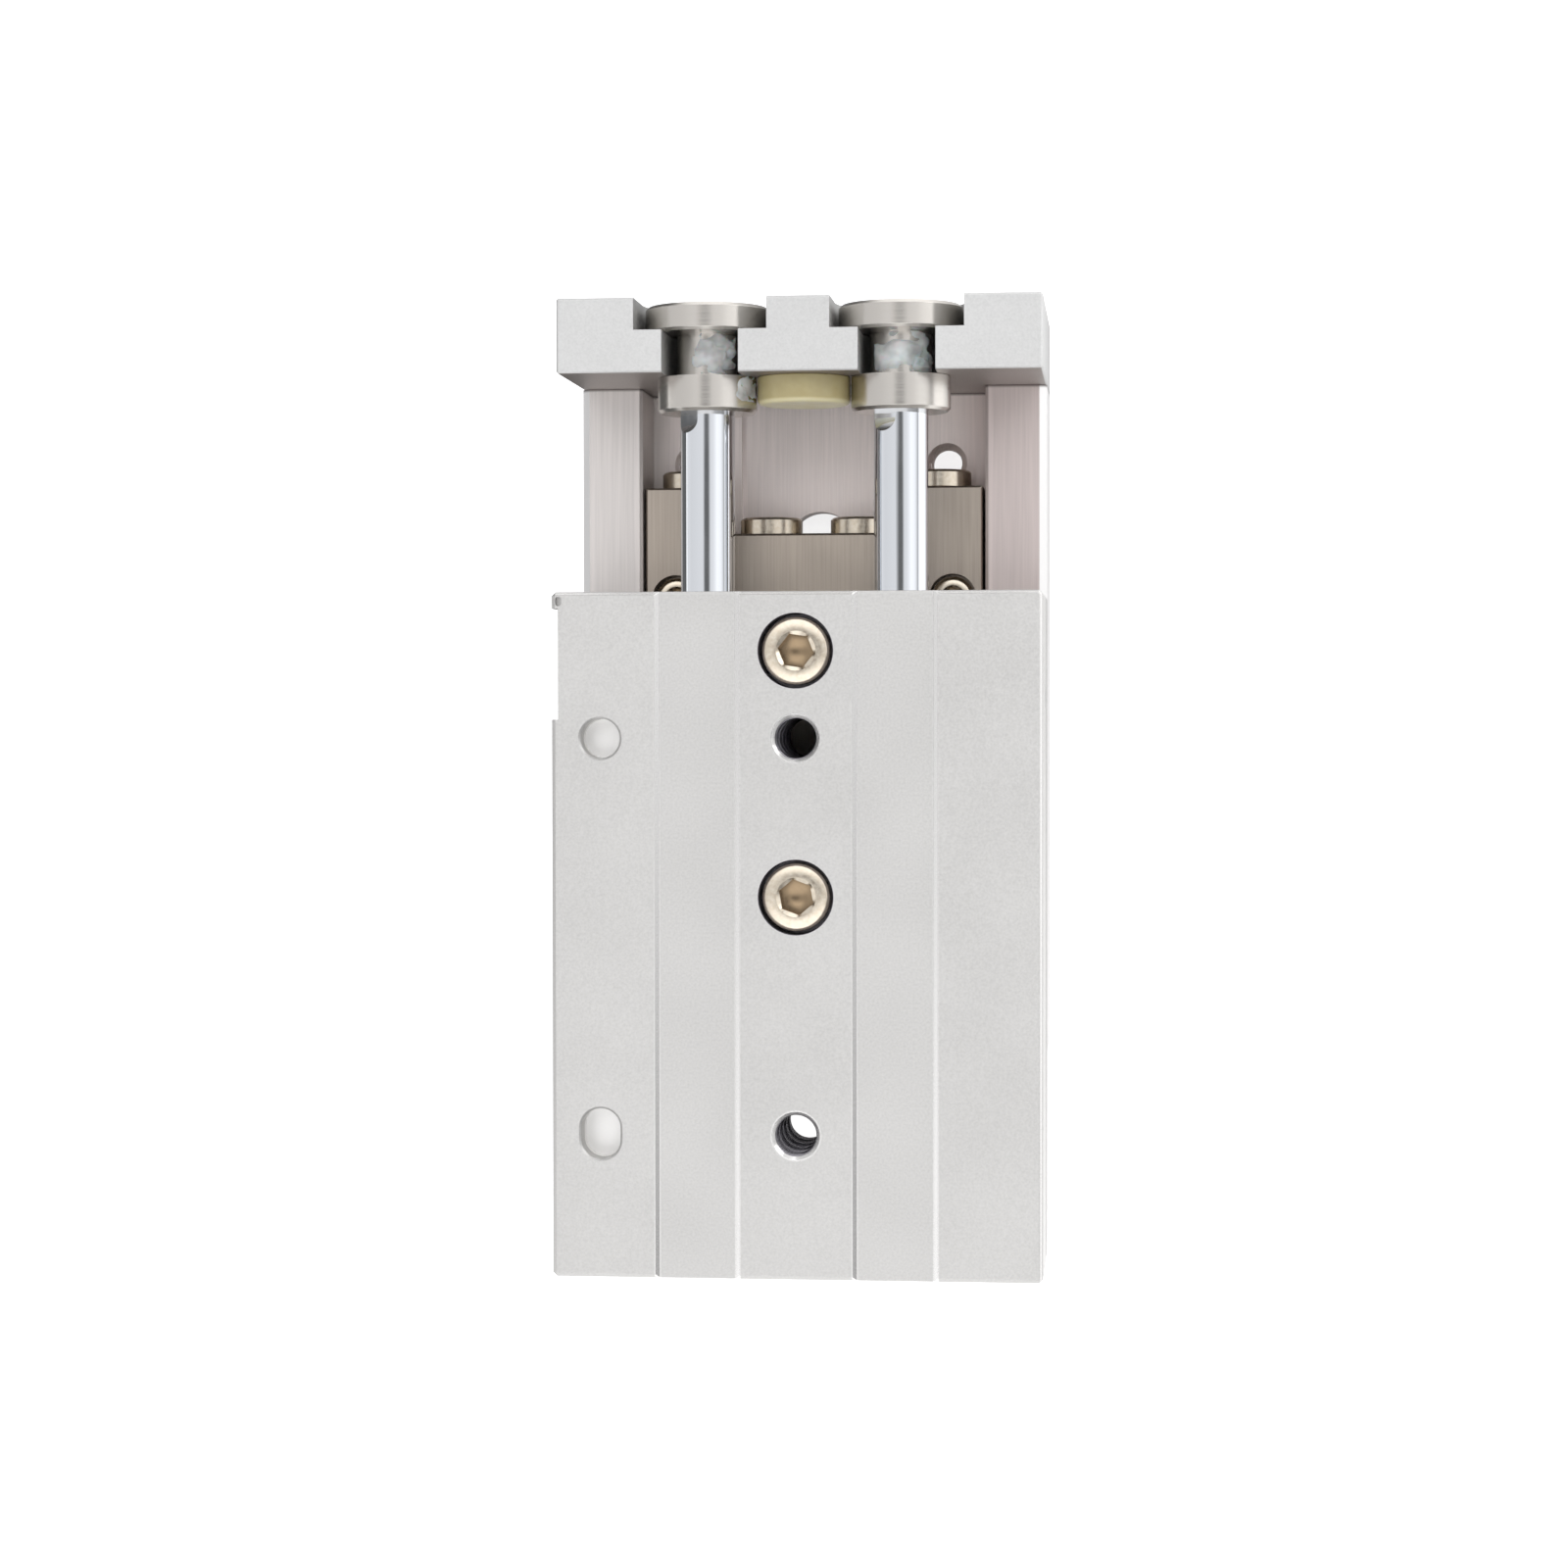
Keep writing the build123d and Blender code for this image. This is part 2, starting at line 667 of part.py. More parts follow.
# Socket screws that hold the rails to the table
with BuildPart() as rail_screws:
    for side in sides.values():
        with Locations(*[(side * rail_screw_x, y, rail_screw_seat) for y in rail_screw_ys]):
            add(rail_screw)
rail_screws.part.label = "rail_screws"
export_step(rail_screws.part, "parts/rail_screws.step")

# Stop screws in both ends of the rails
with BuildPart() as rail_stop_screws:
    for way, y in ((1, rail_front), (-1, rail_rear)):
        for side in sides.values():
            with Locations(facing(side * rail_stop_x, y, roller_height, (0, way, 0))):
                add(stop_screw)
rail_stop_screws.part.label = "rail_stop_screws"
export_step(rail_stop_screws.part, "parts/rail_stop_screws.step")

# Roller cages and their crossed rollers, one set in each gap between guide and rail
roller_ys = [cage_centre + (i - (roller_count - 1) / 2) * roller_pitch for i in range(roller_count)]
for name, side in sides.items():
    with BuildPart() as roller_cage:
        with BuildSketch(section(cage_centre + cage_length / 2)):
            with Locations((side * roller_x, roller_height)):
                Rectangle(cage_thickness, cage_height)
        extrude(amount=cage_length)
        for y in roller_ys:
            with Locations((side * roller_x, y, roller_height)):
                Box(
                    2 * cage_thickness,
                    roller_diameter + 2 * cage_window_clearance,
                    roller_diameter * sqrt(2) + 2 * cage_window_clearance,
                    mode=Mode.SUBTRACT,
                )
    roller_cage.part.label = f"roller_cage_{name}"
    export_step(roller_cage.part, f"parts/roller_cage_{name}.step")

    with BuildPart() as rollers:
        for i, y in enumerate(roller_ys):
            tilt = 1 if i % 2 else -1
            with BuildSketch(facing(side * roller_x, y, roller_height, (tilt, 0, 1))):
                Circle(roller_diameter / 2)
            extrude(amount=(roller_diameter - roller_end_play) / 2, both=True)
    rollers.part.label = f"rollers_{name}"
    export_step(rollers.part, f"parts/rollers_{name}.step")

# What each bore holds, from the end plate to the rear
for name, x in bore_x.items():
    # Floating bush: it sits in the end plate's slot and takes the rod's stud
    with BuildPart() as floating_bush:
        with BuildSketch(section(cap_rear_y + bush_cap_thickness, x, rod_height)):
            Circle(bush_cap_diameter / 2)
        extrude(amount=bush_cap_thickness)
        chamfer(floating_bush.edges(), bush_edge)
        with BuildSketch(section(cap_rear_y, x, rod_height)):
            Circle(bush_neck_diameter / 2)
        extrude(amount=cap_rear_y - table_extension + bush_float)
        with BuildSketch(section(table_extension - bush_float, x, rod_height)):
            Circle(bush_collar_diameter / 2)
        extrude(amount=bush_collar_thickness)
        chamfer(floating_bush.edges().group_by(Axis.Y)[0], bush_edge)
        with BuildSketch(section(collar_rear + rod_stud_length + head_clearance, x, rod_height)):
            Circle(rod_stud_diameter / 2 + thread_clearance)
        extrude(amount=rod_stud_length + head_clearance, mode=Mode.SUBTRACT)
    floating_bush.part.label = f"floating_bush_{name}"
    export_step(floating_bush.part, f"parts/floating_bush_{name}.step")

    # Piston rod with a stud in front, spanner flats, and a thinner end for the piston
    turn = radians(rod_flat_turns[name])
    flat_way = (-cos(turn), 0, -sin(turn))
    flat_plane = Plane(origin=(x, collar_rear, rod_height), x_dir=(0, -1, 0), z_dir=flat_way)
    flat_height = rod_radius - rod_flat_depth
    with BuildPart() as piston_rod:
        with BuildSketch(section(collar_rear, x, rod_height)):
            Circle(rod_radius)
        extrude(amount=collar_rear - piston_front)
        with BuildSketch(section(collar_rear + rod_stud_length, x, rod_height)):
            Circle(rod_stud_diameter / 2)
        extrude(amount=rod_stud_length)
        with BuildSketch(section(piston_front, x, rod_height)):
            Circle(rod_stud_diameter / 2)
        extrude(amount=piston_front - rod_end)
        with BuildSketch(flat_plane):
            for way in (-1, 1):
                with Locations((rod_flat_length / 2, way * (flat_height + rod_flat_depth))):
                    Rectangle(rod_flat_length, 2 * rod_flat_depth)
                with Locations((rod_flat_length, way * (flat_height + rod_flat_cutter))):
                    Circle(rod_flat_cutter)
        extrude(amount=rod_radius, both=True, mode=Mode.SUBTRACT)
    piston_rod.part.label = f"piston_rod_{name}"
    export_step(piston_rod.part, f"parts/piston_rod_{name}.step")

    # Rod cover with an inner groove for the rod seal and an outer one for its O-ring
    cover_seal_front = cover_front - (cover_length - rod_seal_width) / 2
    cover_groove_front = cover_front - (cover_length - o_ring_groove_width) / 2
    with BuildPart() as rod_cover:
        with BuildSketch(section(cover_front, x, rod_height)):
            Circle(bore_radius - cover_clearance)
            Circle(rod_radius + rod_clearance, mode=Mode.SUBTRACT)
        extrude(amount=cover_length)
        with BuildSketch(section(cover_seal_front, x, rod_height)):
            Circle(rod_seal_outer / 2)
        extrude(amount=rod_seal_width, mode=Mode.SUBTRACT)
        with BuildSketch(section(cover_groove_front, x, rod_height)):
            Circle(bore_radius)
            Circle(bore_radius - o_ring_groove_depth, mode=Mode.SUBTRACT)
        extrude(amount=o_ring_groove_width, mode=Mode.SUBTRACT)
    rod_cover.part.label = f"rod_cover_{name}"
    export_step(rod_cover.part, f"parts/rod_cover_{name}.step")

    with BuildPart() as rod_seal:
        with BuildSketch(section(cover_seal_front - thread_clearance, x, rod_height)):
            Circle(rod_seal_outer / 2 - seal_clearance)
            Circle(rod_radius + seal_clearance, mode=Mode.SUBTRACT)
        extrude(amount=rod_seal_width - 2 * thread_clearance)
    rod_seal.part.label = f"rod_seal_{name}"
    export_step(rod_seal.part, f"parts/rod_seal_{name}.step")

    # Head cap that closes the bore's rear end
    cap_groove_front = head_cap_front - (cap_length - o_ring_groove_width) / 2
    with BuildPart() as head_cap:
        with BuildSketch(section(head_cap_front, x, rod_height)):
            Circle(bore_radius - cover_clearance)
        extrude(amount=cap_length)
        with BuildSketch(section(cap_groove_front, x, rod_height)):
            Circle(bore_radius)
            Circle(bore_radius - o_ring_groove_depth, mode=Mode.SUBTRACT)
        extrude(amount=o_ring_groove_width, mode=Mode.SUBTRACT)
        with BuildSketch(section(head_cap_rear + cap_dimple_depth, x, rod_height)):
            Circle(cap_dimple_diameter / 2)
        extrude(amount=cap_dimple_depth, mode=Mode.SUBTRACT)
    head_cap.part.label = f"head_cap_{name}"
    export_step(head_cap.part, f"parts/head_cap_{name}.step")

    # O-rings of the rod cover and of the head cap
    for place, front in (("cover", cover_groove_front), ("cap", cap_groove_front)):
        with BuildPart() as o_ring:
            with BuildSketch(turning(x)):
                with Locations((front - o_ring_groove_width / 2, o_ring_middle)):
                    Circle(o_ring_section / 2)
            revolve(axis=bore_axis(x))
        o_ring.part.label = f"{place}_o_ring_{name}"
        export_step(o_ring.part, f"parts/{place}_o_ring_{name}.step")

    # Retaining rings, sprung into the bore's grooves, with their gap downward
    for place, front in (("cover", cover_ring_front), ("cap", head_ring_front)):
        with BuildPart() as retaining_ring:
            with BuildSketch(section(front - thread_clearance / 2, x, rod_height)):
                Circle(ring_outer)
                Circle(ring_inner, mode=Mode.SUBTRACT)
                with Locations((0, -ring_outer)):
                    Rectangle(ring_gap_width, 2 * ring_width + ring_lug_radius, mode=Mode.SUBTRACT)
                with Locations(*[(way * ring_lug_x, ring_lug_z) for way in (-1, 1)]):
                    Circle(ring_lug_radius)
                    Circle(ring_lug_hole, mode=Mode.SUBTRACT)
            extrude(amount=ring_thickness)
        retaining_ring.part.label = f"{place}_ring_{name}"
        export_step(retaining_ring.part, f"parts/{place}_ring_{name}.step")

    # Piston with grooves for its seal, its magnet and its wear ring
    spare = (piston_length - piston_seal_width - magnet_width - wear_ring_width) / 4
    seal_front = piston_front - spare
    magnet_front = seal_front - piston_seal_width - spare
    wear_front = magnet_front - magnet_width - spare
    piston_radius = bore_radius - piston_clearance
    with BuildPart() as piston:
        with BuildSketch(section(piston_front, x, rod_height)):
            Circle(piston_radius)
            Circle(rod_stud_diameter / 2 + thread_clearance, mode=Mode.SUBTRACT)
        extrude(amount=piston_length)
        for front, width, depth in (
            (seal_front, piston_seal_width, piston_groove_depth),
            (magnet_front, magnet_width, piston_groove_depth),
            (wear_front, wear_ring_width, wear_ring_thickness),
        ):
            with BuildSketch(section(front, x, rod_height)):
                Circle(bore_radius)
                Circle(piston_radius - depth, mode=Mode.SUBTRACT)
            extrude(amount=width, mode=Mode.SUBTRACT)
    piston.part.label = f"piston_{name}"
    export_step(piston.part, f"parts/piston_{name}.step")

    for label, front, width, outer, depth in (
        ("piston_seal", seal_front, piston_seal_width, bore_radius - seal_clearance, piston_groove_depth),
        ("piston_magnet", magnet_front, magnet_width, piston_radius - piston_clearance, piston_groove_depth),
        ("wear_ring", wear_front, wear_ring_width, bore_radius - 2 * seal_clearance, wear_ring_thickness),
    ):
        with BuildPart() as band:
            with BuildSketch(section(front - seal_clearance, x, rod_height)):
                Circle(outer)
                Circle(piston_radius - depth + seal_clearance, mode=Mode.SUBTRACT)
            extrude(amount=width - 2 * seal_clearance)
        band.part.label = f"{label}_{name}"
        export_step(band.part, f"parts/{label}_{name}.step")

    with BuildPart() as piston_nut:
        with BuildSketch(section(piston_rear, x, rod_height)):
            RegularPolygon(piston_nut_width / 2, 6, major_radius=False)
            Circle(rod_stud_diameter / 2 + thread_clearance, mode=Mode.SUBTRACT)
        extrude(amount=piston_nut_height)
    piston_nut.part.label = f"piston_nut_{name}"
    export_step(piston_nut.part, f"parts/piston_nut_{name}.step")

    with BuildPart() as piston_bumper:
        with BuildSketch(section(piston_front + piston_bumper_thickness, x, rod_height)):
            Circle(piston_bumper_diameter / 2)
            Circle(rod_radius + seal_clearance, mode=Mode.SUBTRACT)
        extrude(amount=piston_bumper_thickness)
    piston_bumper.part.label = f"piston_bumper_{name}"
    export_step(piston_bumper.part, f"parts/piston_bumper_{name}.step")

print("stroke: back", round(retraction, 2), "out", round(advance, 2), "from the rest pose")
print("open table channel ahead of the rails:", round(table_extension - rail_front, 2))
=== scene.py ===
# %% [markdown]
# # Slide table cylinder
# This lesson dresses a CAD model of an air slide table. The CAD already has every solid in its
# real place, so Blender's work here is the surfaces, the screws, the threads, the grease, the
# camera and the light. Lengths are metres, and those taken from drawings are millimetres times
# MM. Every piece keeps its object at the origin.

import bpy
import bmesh
from math import cos, pi, radians, sin, tau
from mathutils import Matrix, Vector, noise


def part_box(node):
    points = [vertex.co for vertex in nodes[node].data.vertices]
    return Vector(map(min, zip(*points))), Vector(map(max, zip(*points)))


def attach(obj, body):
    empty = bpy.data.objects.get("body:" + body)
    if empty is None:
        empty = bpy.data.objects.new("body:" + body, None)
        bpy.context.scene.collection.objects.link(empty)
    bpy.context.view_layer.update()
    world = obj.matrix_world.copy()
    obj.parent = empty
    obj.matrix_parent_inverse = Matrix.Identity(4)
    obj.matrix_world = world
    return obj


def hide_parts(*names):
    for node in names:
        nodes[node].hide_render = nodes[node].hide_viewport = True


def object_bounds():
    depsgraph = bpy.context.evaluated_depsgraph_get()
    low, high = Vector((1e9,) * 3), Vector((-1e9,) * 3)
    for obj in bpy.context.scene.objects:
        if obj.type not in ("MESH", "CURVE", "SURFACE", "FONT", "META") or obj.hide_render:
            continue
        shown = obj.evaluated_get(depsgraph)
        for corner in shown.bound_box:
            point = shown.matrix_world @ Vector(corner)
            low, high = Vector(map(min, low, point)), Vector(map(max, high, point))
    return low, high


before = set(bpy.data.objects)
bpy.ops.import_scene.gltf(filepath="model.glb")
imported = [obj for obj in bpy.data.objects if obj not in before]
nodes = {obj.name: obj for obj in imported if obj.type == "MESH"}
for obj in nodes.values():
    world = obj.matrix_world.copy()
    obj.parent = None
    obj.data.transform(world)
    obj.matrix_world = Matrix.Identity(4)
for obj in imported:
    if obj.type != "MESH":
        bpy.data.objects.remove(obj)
cad_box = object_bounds()
scene = bpy.context.scene
MM = 0.001

# %% [markdown]
# ## The camera
# The photograph looks almost straight down on the body's mounting face, from a little to the
# right. Its place and turn were worked out from the known corners of the model. A Blender camera
# looks along its own -Z, so the turn is the inverse of the one that takes the world into the view.

# %% Place the camera
CAMERA_PLACE = (0.04165, -0.01653, 0.45973)
camera_turn = (
    Matrix.Rotation(radians(0.078), 3, "Z")
    @ Matrix.Rotation(radians(1.046), 3, "X")
    @ Matrix.Rotation(radians(-5.861), 3, "Y")
)
camera_data = bpy.data.cameras.new("camera")
camera_data.lens = 77.17
camera_data.sensor_width = 36.0
camera_data.clip_start = 0.01
camera_data.clip_end = 20.0
camera = bpy.data.objects.new("camera", camera_data)
camera.matrix_world = Matrix.Translation(CAMERA_PLACE) @ camera_turn.transposed().to_4x4()
scene.collection.objects.link(camera)
scene.camera = camera
scene.view_settings.view_transform = "Standard"
print("camera at", [round(v, 4) for v in camera.location], "lens", camera_data.lens)

# %% [markdown]
# ## One helper for all node trees
# World, materials and geometry trees are all nodes and links. One small function adds a node,
# sets its options, and fills its inputs with plain values or with other nodes' outputs.

# %% Node and colour helpers
def add(tree, kind, inputs=None, **options):
    """A new node in the tree: options are its properties, inputs its socket values or links."""
    made = tree.nodes.new(kind)
    for name, value in options.items():
        setattr(made, name, value)
    for name, value in (inputs or {}).items():
        if isinstance(value, bpy.types.NodeSocket):
            tree.links.new(value, made.inputs[name])
        else:
            made.inputs[name].default_value = value
    return made


def linear(code):
    """An sRGB hex colour as linear red, green, blue and alpha."""
    parts = [int(code[i:i + 2], 16) / 255 for i in (0, 2, 4)]
    return (*(v / 12.92 if v <= 0.04045 else ((v + 0.055) / 1.055) ** 2.4 for v in parts), 1.0)


def ramp(tree, value, stops):
    """A colour ramp of (position, colour) stops, read at the value."""
    made = add(tree, "ShaderNodeValToRGB", {"Fac": value})
    elements = made.color_ramp.elements
    while len(elements) < len(stops):
        elements.new(0.5)
    for element, (position, colour) in zip(elements, stops):
        element.position = position
        element.color = colour
    return made.outputs["Color"]


def ray_kinds(tree, *kinds):
    """1 for rays of those kinds and 0 for all others."""
    rays = add(tree, "ShaderNodeLightPath")
    found = 0.0
    for kind in kinds:
        both = {0: found, 1: rays.outputs[f"Is {kind} Ray"]}
        found = add(tree, "ShaderNodeMath", both, operation="MAXIMUM").outputs[0]
    return found


print("mid grey BABABA is", round(linear("BABABA")[0], 3), "in linear light")

# %% [markdown]
# ## The light tent
# Machined metal shows what stands round it, and the rods are the best record of that. Across a
# rod, from left to right, they mirror a pale wall, a dark spot where the lens looks in, a bright
# soft box and a dim gap. The sloping channel sides show that the right box only lights from ahead,
# and that a left one lights from behind. So the world has two sets of bands by direction, a bright
# panel at each end of the ceiling and a dark spot between them. The background itself is white
# only to the camera and to transmitted rays.

# %% The tent's walls
TENT_STRENGTH = 1.7
# Degrees right of straight up, and the brightness there
AHEAD = [
    (-180, 0.50), (-125, 0.45), (-112, 0.26), (-98, 0.46), (-84, 0.58), (-68, 0.53),
    (-30, 0.56), (24, 0.58), (34, 0.66), (46, 0.82), (60, 0.78), (68, 0.70),
    (76, 0.46), (80, 0.30), (84, 0.60), (89, 1.1), (106, 1.1), (180, 0.50),
]
BEHIND = [
    (-180, 0.50), (-110, 0.55), (-96, 0.85), (-76, 0.90), (-58, 0.62), (-30, 0.57), (0, 0.55),
    (30, 0.42), (52, 0.24), (79, 0.20), (84, 0.60), (89, 1.1), (106, 1.1), (180, 0.50),
]
FAINT_BLUE = 1.015

world = bpy.data.worlds.new("light tent")
world.use_nodes = True
scene.world = world
tree = world.node_tree
tree.nodes.clear()
direction = add(tree, "ShaderNodeTexCoord").outputs["Generated"]
split = add(tree, "ShaderNodeSeparateXYZ", {"Vector": direction})
around = add(
    tree, "ShaderNodeMath", {0: split.outputs["X"], 1: split.outputs["Z"]}, operation="ARCTAN2",
).outputs[0]
turn = add(tree, "ShaderNodeMapRange", {"Value": around, "From Min": -pi, "From Max": pi})


def bands(levels):
    """The tent's colour by direction, from (degrees, brightness) levels."""
    stops = [((a + 180) / 360, (v, v, v * FAINT_BLUE, 1.0)) for a, v in levels]
    return ramp(tree, turn.outputs["Result"], stops)


behind = add(
    tree, "ShaderNodeMapRange",
    {"Value": split.outputs["Y"], "From Min": -0.02, "From Max": -0.14},
)
walls = add(
    tree, "ShaderNodeMix", {0: behind.outputs["Result"], 6: bands(AHEAD), 7: bands(BEHIND)},
    data_type="RGBA",
)
print("tent walls with", len(AHEAD), "bands ahead and", len(BEHIND), "behind")

# %% The tent's ceiling and the lens
PANEL_COLOUR = (1.12, 1.12, 1.13, 1.0)
PANEL_SIDES = (radians(38), radians(22))
PANEL_MIDDLE_Y = 0.04
PANEL_ENDS = (0.12, 0.28)
LENS = (0.03, 0.05, 0.0)
LENS_SQUEEZE = (1.0, 2.3, 0.0)
LENS_REACH = (0.28, 0.13)
LENS_COLOUR = (0.10, 0.10, 0.10, 1.0)

aside = add(tree, "ShaderNodeMath", {0: around}, operation="ABSOLUTE")
near_top = add(
    tree, "ShaderNodeMapRange",
    {"Value": aside.outputs[0], "From Min": PANEL_SIDES[0], "From Max": PANEL_SIDES[1]},
)
along = add(tree, "ShaderNodeMath", {0: split.outputs["Y"], 1: PANEL_MIDDLE_Y}, operation="SUBTRACT")
along = add(tree, "ShaderNodeMath", {0: along.outputs[0]}, operation="ABSOLUTE")
ends = add(
    tree, "ShaderNodeMapRange",
    {"Value": along.outputs[0], "From Min": PANEL_ENDS[0], "From Max": PANEL_ENDS[1]},
)
panels = add(
    tree, "ShaderNodeMath", {0: near_top.outputs["Result"], 1: ends.outputs["Result"]},
    operation="MULTIPLY",
)
ceiling = add(
    tree, "ShaderNodeMix", {0: panels.outputs[0], 6: walls.outputs[2], 7: PANEL_COLOUR},
    data_type="RGBA",
)
from_lens = add(tree, "ShaderNodeVectorMath", {0: direction, 1: LENS}, operation="SUBTRACT")
squeezed = add(
    tree, "ShaderNodeVectorMath", {0: from_lens.outputs[0], 1: LENS_SQUEEZE}, operation="MULTIPLY",
)
reach = add(tree, "ShaderNodeVectorMath", {0: squeezed.outputs[0]}, operation="LENGTH")
spot = add(
    tree, "ShaderNodeMapRange",
    {"Value": reach.outputs["Value"], "From Min": LENS_REACH[0], "From Max": LENS_REACH[1]},
)
tent_colour = add(
    tree, "ShaderNodeMix", {0: spot.outputs["Result"], 6: ceiling.outputs[2], 7: LENS_COLOUR},
    data_type="RGBA",
)
tent = add(
    tree, "ShaderNodeBackground", {"Color": tent_colour.outputs[2], "Strength": TENT_STRENGTH},
)
white = add(tree, "ShaderNodeBackground", {"Color": (1, 1, 1, 1), "Strength": 1.0})
seen = ray_kinds(tree, "Camera", "Transmission")
mixed = add(tree, "ShaderNodeMixShader", {0: seen, 1: tent.outputs[0], 2: white.outputs[0]})
add(tree, "ShaderNodeOutputWorld", {"Surface": mixed.outputs[0]})
print("world", world.name, "has", len(tree.nodes), "nodes")

# %% [markdown]
# ## The floor and the key light
# The part lies on its table, on a plain pale floor. The floor gives the camera, glossy and
# transmitted rays a near-white surface, and its diffuse share keeps a faint shadow of the part. In
# gloss it falls to grey round a card on the left, which gives the turned pieces a dark edge. One
# soft box low on the right gives the chamfers their bright edge.

# %% Make the floor
FLOOR_HALF = 0.9
FLOOR_GAP = 0.0002
FLOOR_GLOW = 0.78
CARD = (-0.11, 0.03, 0.0)
CARD_REACH = (0.19, 0.10)
CARD_GLOW = 0.16

floor_z = cad_box[0][2] - FLOOR_GAP
corners = [(x * FLOOR_HALF, y * FLOOR_HALF) for x, y in ((-1, -1), (1, -1), (1, 1), (-1, 1))]
floor_mesh = bpy.data.meshes.new("floor")
floor_mesh.from_pydata([(x, y, floor_z) for x, y in corners], [], [(0, 1, 2, 3)])
floor = bpy.data.objects.new("floor", floor_mesh)
scene.collection.objects.link(floor)
floor_paper = bpy.data.materials.new("matt white paper floor")
floor_paper.use_nodes = True
tree = floor_paper.node_tree
tree.nodes.clear()
place = add(tree, "ShaderNodeTexCoord").outputs["Object"]
from_card = add(tree, "ShaderNodeVectorMath", {0: place, 1: CARD}, operation="SUBTRACT")
reach = add(tree, "ShaderNodeVectorMath", {0: from_card.outputs[0]}, operation="LENGTH")
near_card = add(
    tree, "ShaderNodeMapRange",
    {"Value": reach.outputs["Value"], "From Min": CARD_REACH[0], "From Max": CARD_REACH[1]},
)
mirrored = add(
    tree, "ShaderNodeMath", {0: near_card.outputs["Result"], 1: ray_kinds(tree, "Glossy")},
    operation="MULTIPLY",
)
paper = add(tree, "ShaderNodeBsdfDiffuse", {"Color": linear("D8D8D8")})
glow = add(tree, "ShaderNodeEmission", {"Color": (1, 1, 1, 1), "Strength": FLOOR_GLOW})
card = add(tree, "ShaderNodeEmission", {"Color": (1, 1, 1, 1), "Strength": CARD_GLOW})
both = add(tree, "ShaderNodeAddShader", {0: paper.outputs[0], 1: glow.outputs[0]})
seen = ray_kinds(tree, "Camera", "Transmission", "Glossy")
shown = add(tree, "ShaderNodeMixShader", {0: seen, 1: paper.outputs[0], 2: both.outputs[0]})
shown = add(
    tree, "ShaderNodeMixShader", {0: mirrored.outputs[0], 1: shown.outputs[0], 2: card.outputs[0]},
)
add(tree, "ShaderNodeOutputMaterial", {"Surface": shown.outputs[0]})
floor_mesh.materials.append(floor_paper)
print("floor at z =", round(floor_z, 5))

# %% Make the key light
KEY_PLACE = Vector((0.5, 0.33, 0.24))
key_data = bpy.data.lights.new("key soft box", "AREA")
key_data.shape = "RECTANGLE"
key_data.size = 0.35
key_data.size_y = 0.25
key_data.energy = 0.8
key = bpy.data.objects.new("key soft box", key_data)
aimed = KEY_PLACE.to_track_quat("Z", "Y").to_matrix().to_4x4()
key.matrix_world = Matrix.Translation(KEY_PLACE) @ aimed
key.visible_camera = False
scene.collection.objects.link(key)
print("key light", key_data.energy, "W")

# %% [markdown]
# ## A starting material
# Every finish starts from a Principled shader, the object coordinates and a fine grain. Metals
# keep the default IOR, and their colour is the metal's own. A grain's size in millimetres becomes
# a noise scale when one metre is divided by it.

# %% Material helpers
def finish(name, colour, metallic, roughness):
    """A new material with its tree, its Principled shader and the object coordinates."""
    made = bpy.data.materials.new(name)
    made.use_nodes = True
    tree = made.node_tree
    tree.nodes.clear()
    start = {"Base Color": linear(colour), "Metallic": metallic, "Roughness": roughness}
    shader = add(tree, "ShaderNodeBsdfPrincipled", start)
    add(tree, "ShaderNodeOutputMaterial", {"Surface": shader.outputs["BSDF"]})
    place = add(tree, "ShaderNodeTexCoord").outputs["Object"]
    return made, tree, shader, place


def grain(tree, place, size_mm, stretch=(1, 1, 1), detail=2.0):
    """Noise with grains of that size. A stretch below 1 draws it out along that axis."""
    mapped = add(tree, "ShaderNodeMapping", {"Vector": place, "Scale": stretch})
    return add(tree, "ShaderNodeTexNoise", {
        "Vector": mapped.outputs[0], "Scale": 1 / (size_mm * MM), "Detail": detail, "Roughness": 0.55,
    }).outputs["Fac"]


def spread(tree, value, low=0.0, high=1.0):
    """The middle part of a noise value, spread between two numbers."""
    return add(
        tree, "ShaderNodeMapRange",
        {"Value": value, "From Min": 0.3, "From Max": 0.7, "To Min": low, "To Max": high},
    ).outputs["Result"]


def tinted(tree, shader, value, dark, light):
    """Colours the shader between two sRGB hex colours, by a noise value."""
    tone = ramp(tree, spread(tree, value), [(0.0, linear(dark)), (1.0, linear(light))])
    tree.links.new(tone, shader.inputs["Base Color"])


def painted(tree, shader, *layers):
    """Lays sRGB hex colours over the shader's colour, each through its mask from 0 to 1."""
    colour = shader.inputs["Base Color"].links[0].from_socket
    for mask, code in layers:
        layer = {0: mask, 6: colour, 7: linear(code)}
        colour = add(tree, "ShaderNodeMix", layer, data_type="RGBA").outputs[2]
    tree.links.new(colour, shader.inputs["Base Color"])


def bumped(tree, shader, height, depth_mm, strength, soft_edge_mm=0.0):
    """Turns a height pattern into bump on the shader, and softens the part's edges a little."""
    made = add(
        tree, "ShaderNodeBump", {"Height": height, "Distance": depth_mm * MM, "Strength": strength},
    )
    if soft_edge_mm:
        edge = add(tree, "ShaderNodeBevel", {"Radius": soft_edge_mm * MM}, samples=4)
        tree.links.new(edge.outputs[0], made.inputs["Normal"])
    tree.links.new(made.outputs[0], shader.inputs["Normal"])


print("a 0.4 mm grain has noise scale", 1 / (0.4 * MM))

# %% [markdown]
# ## Clear anodised aluminium
# The body, the table and the end plate are extruded or milled aluminium, bead-blasted and then
# clear anodised. Blasting leaves a silky, even grey with a grain of about 0.1 mm. That is finer
# than a pixel here, so it is drawn at 0.3 mm. A slow cloud of brightness keeps large faces alive.

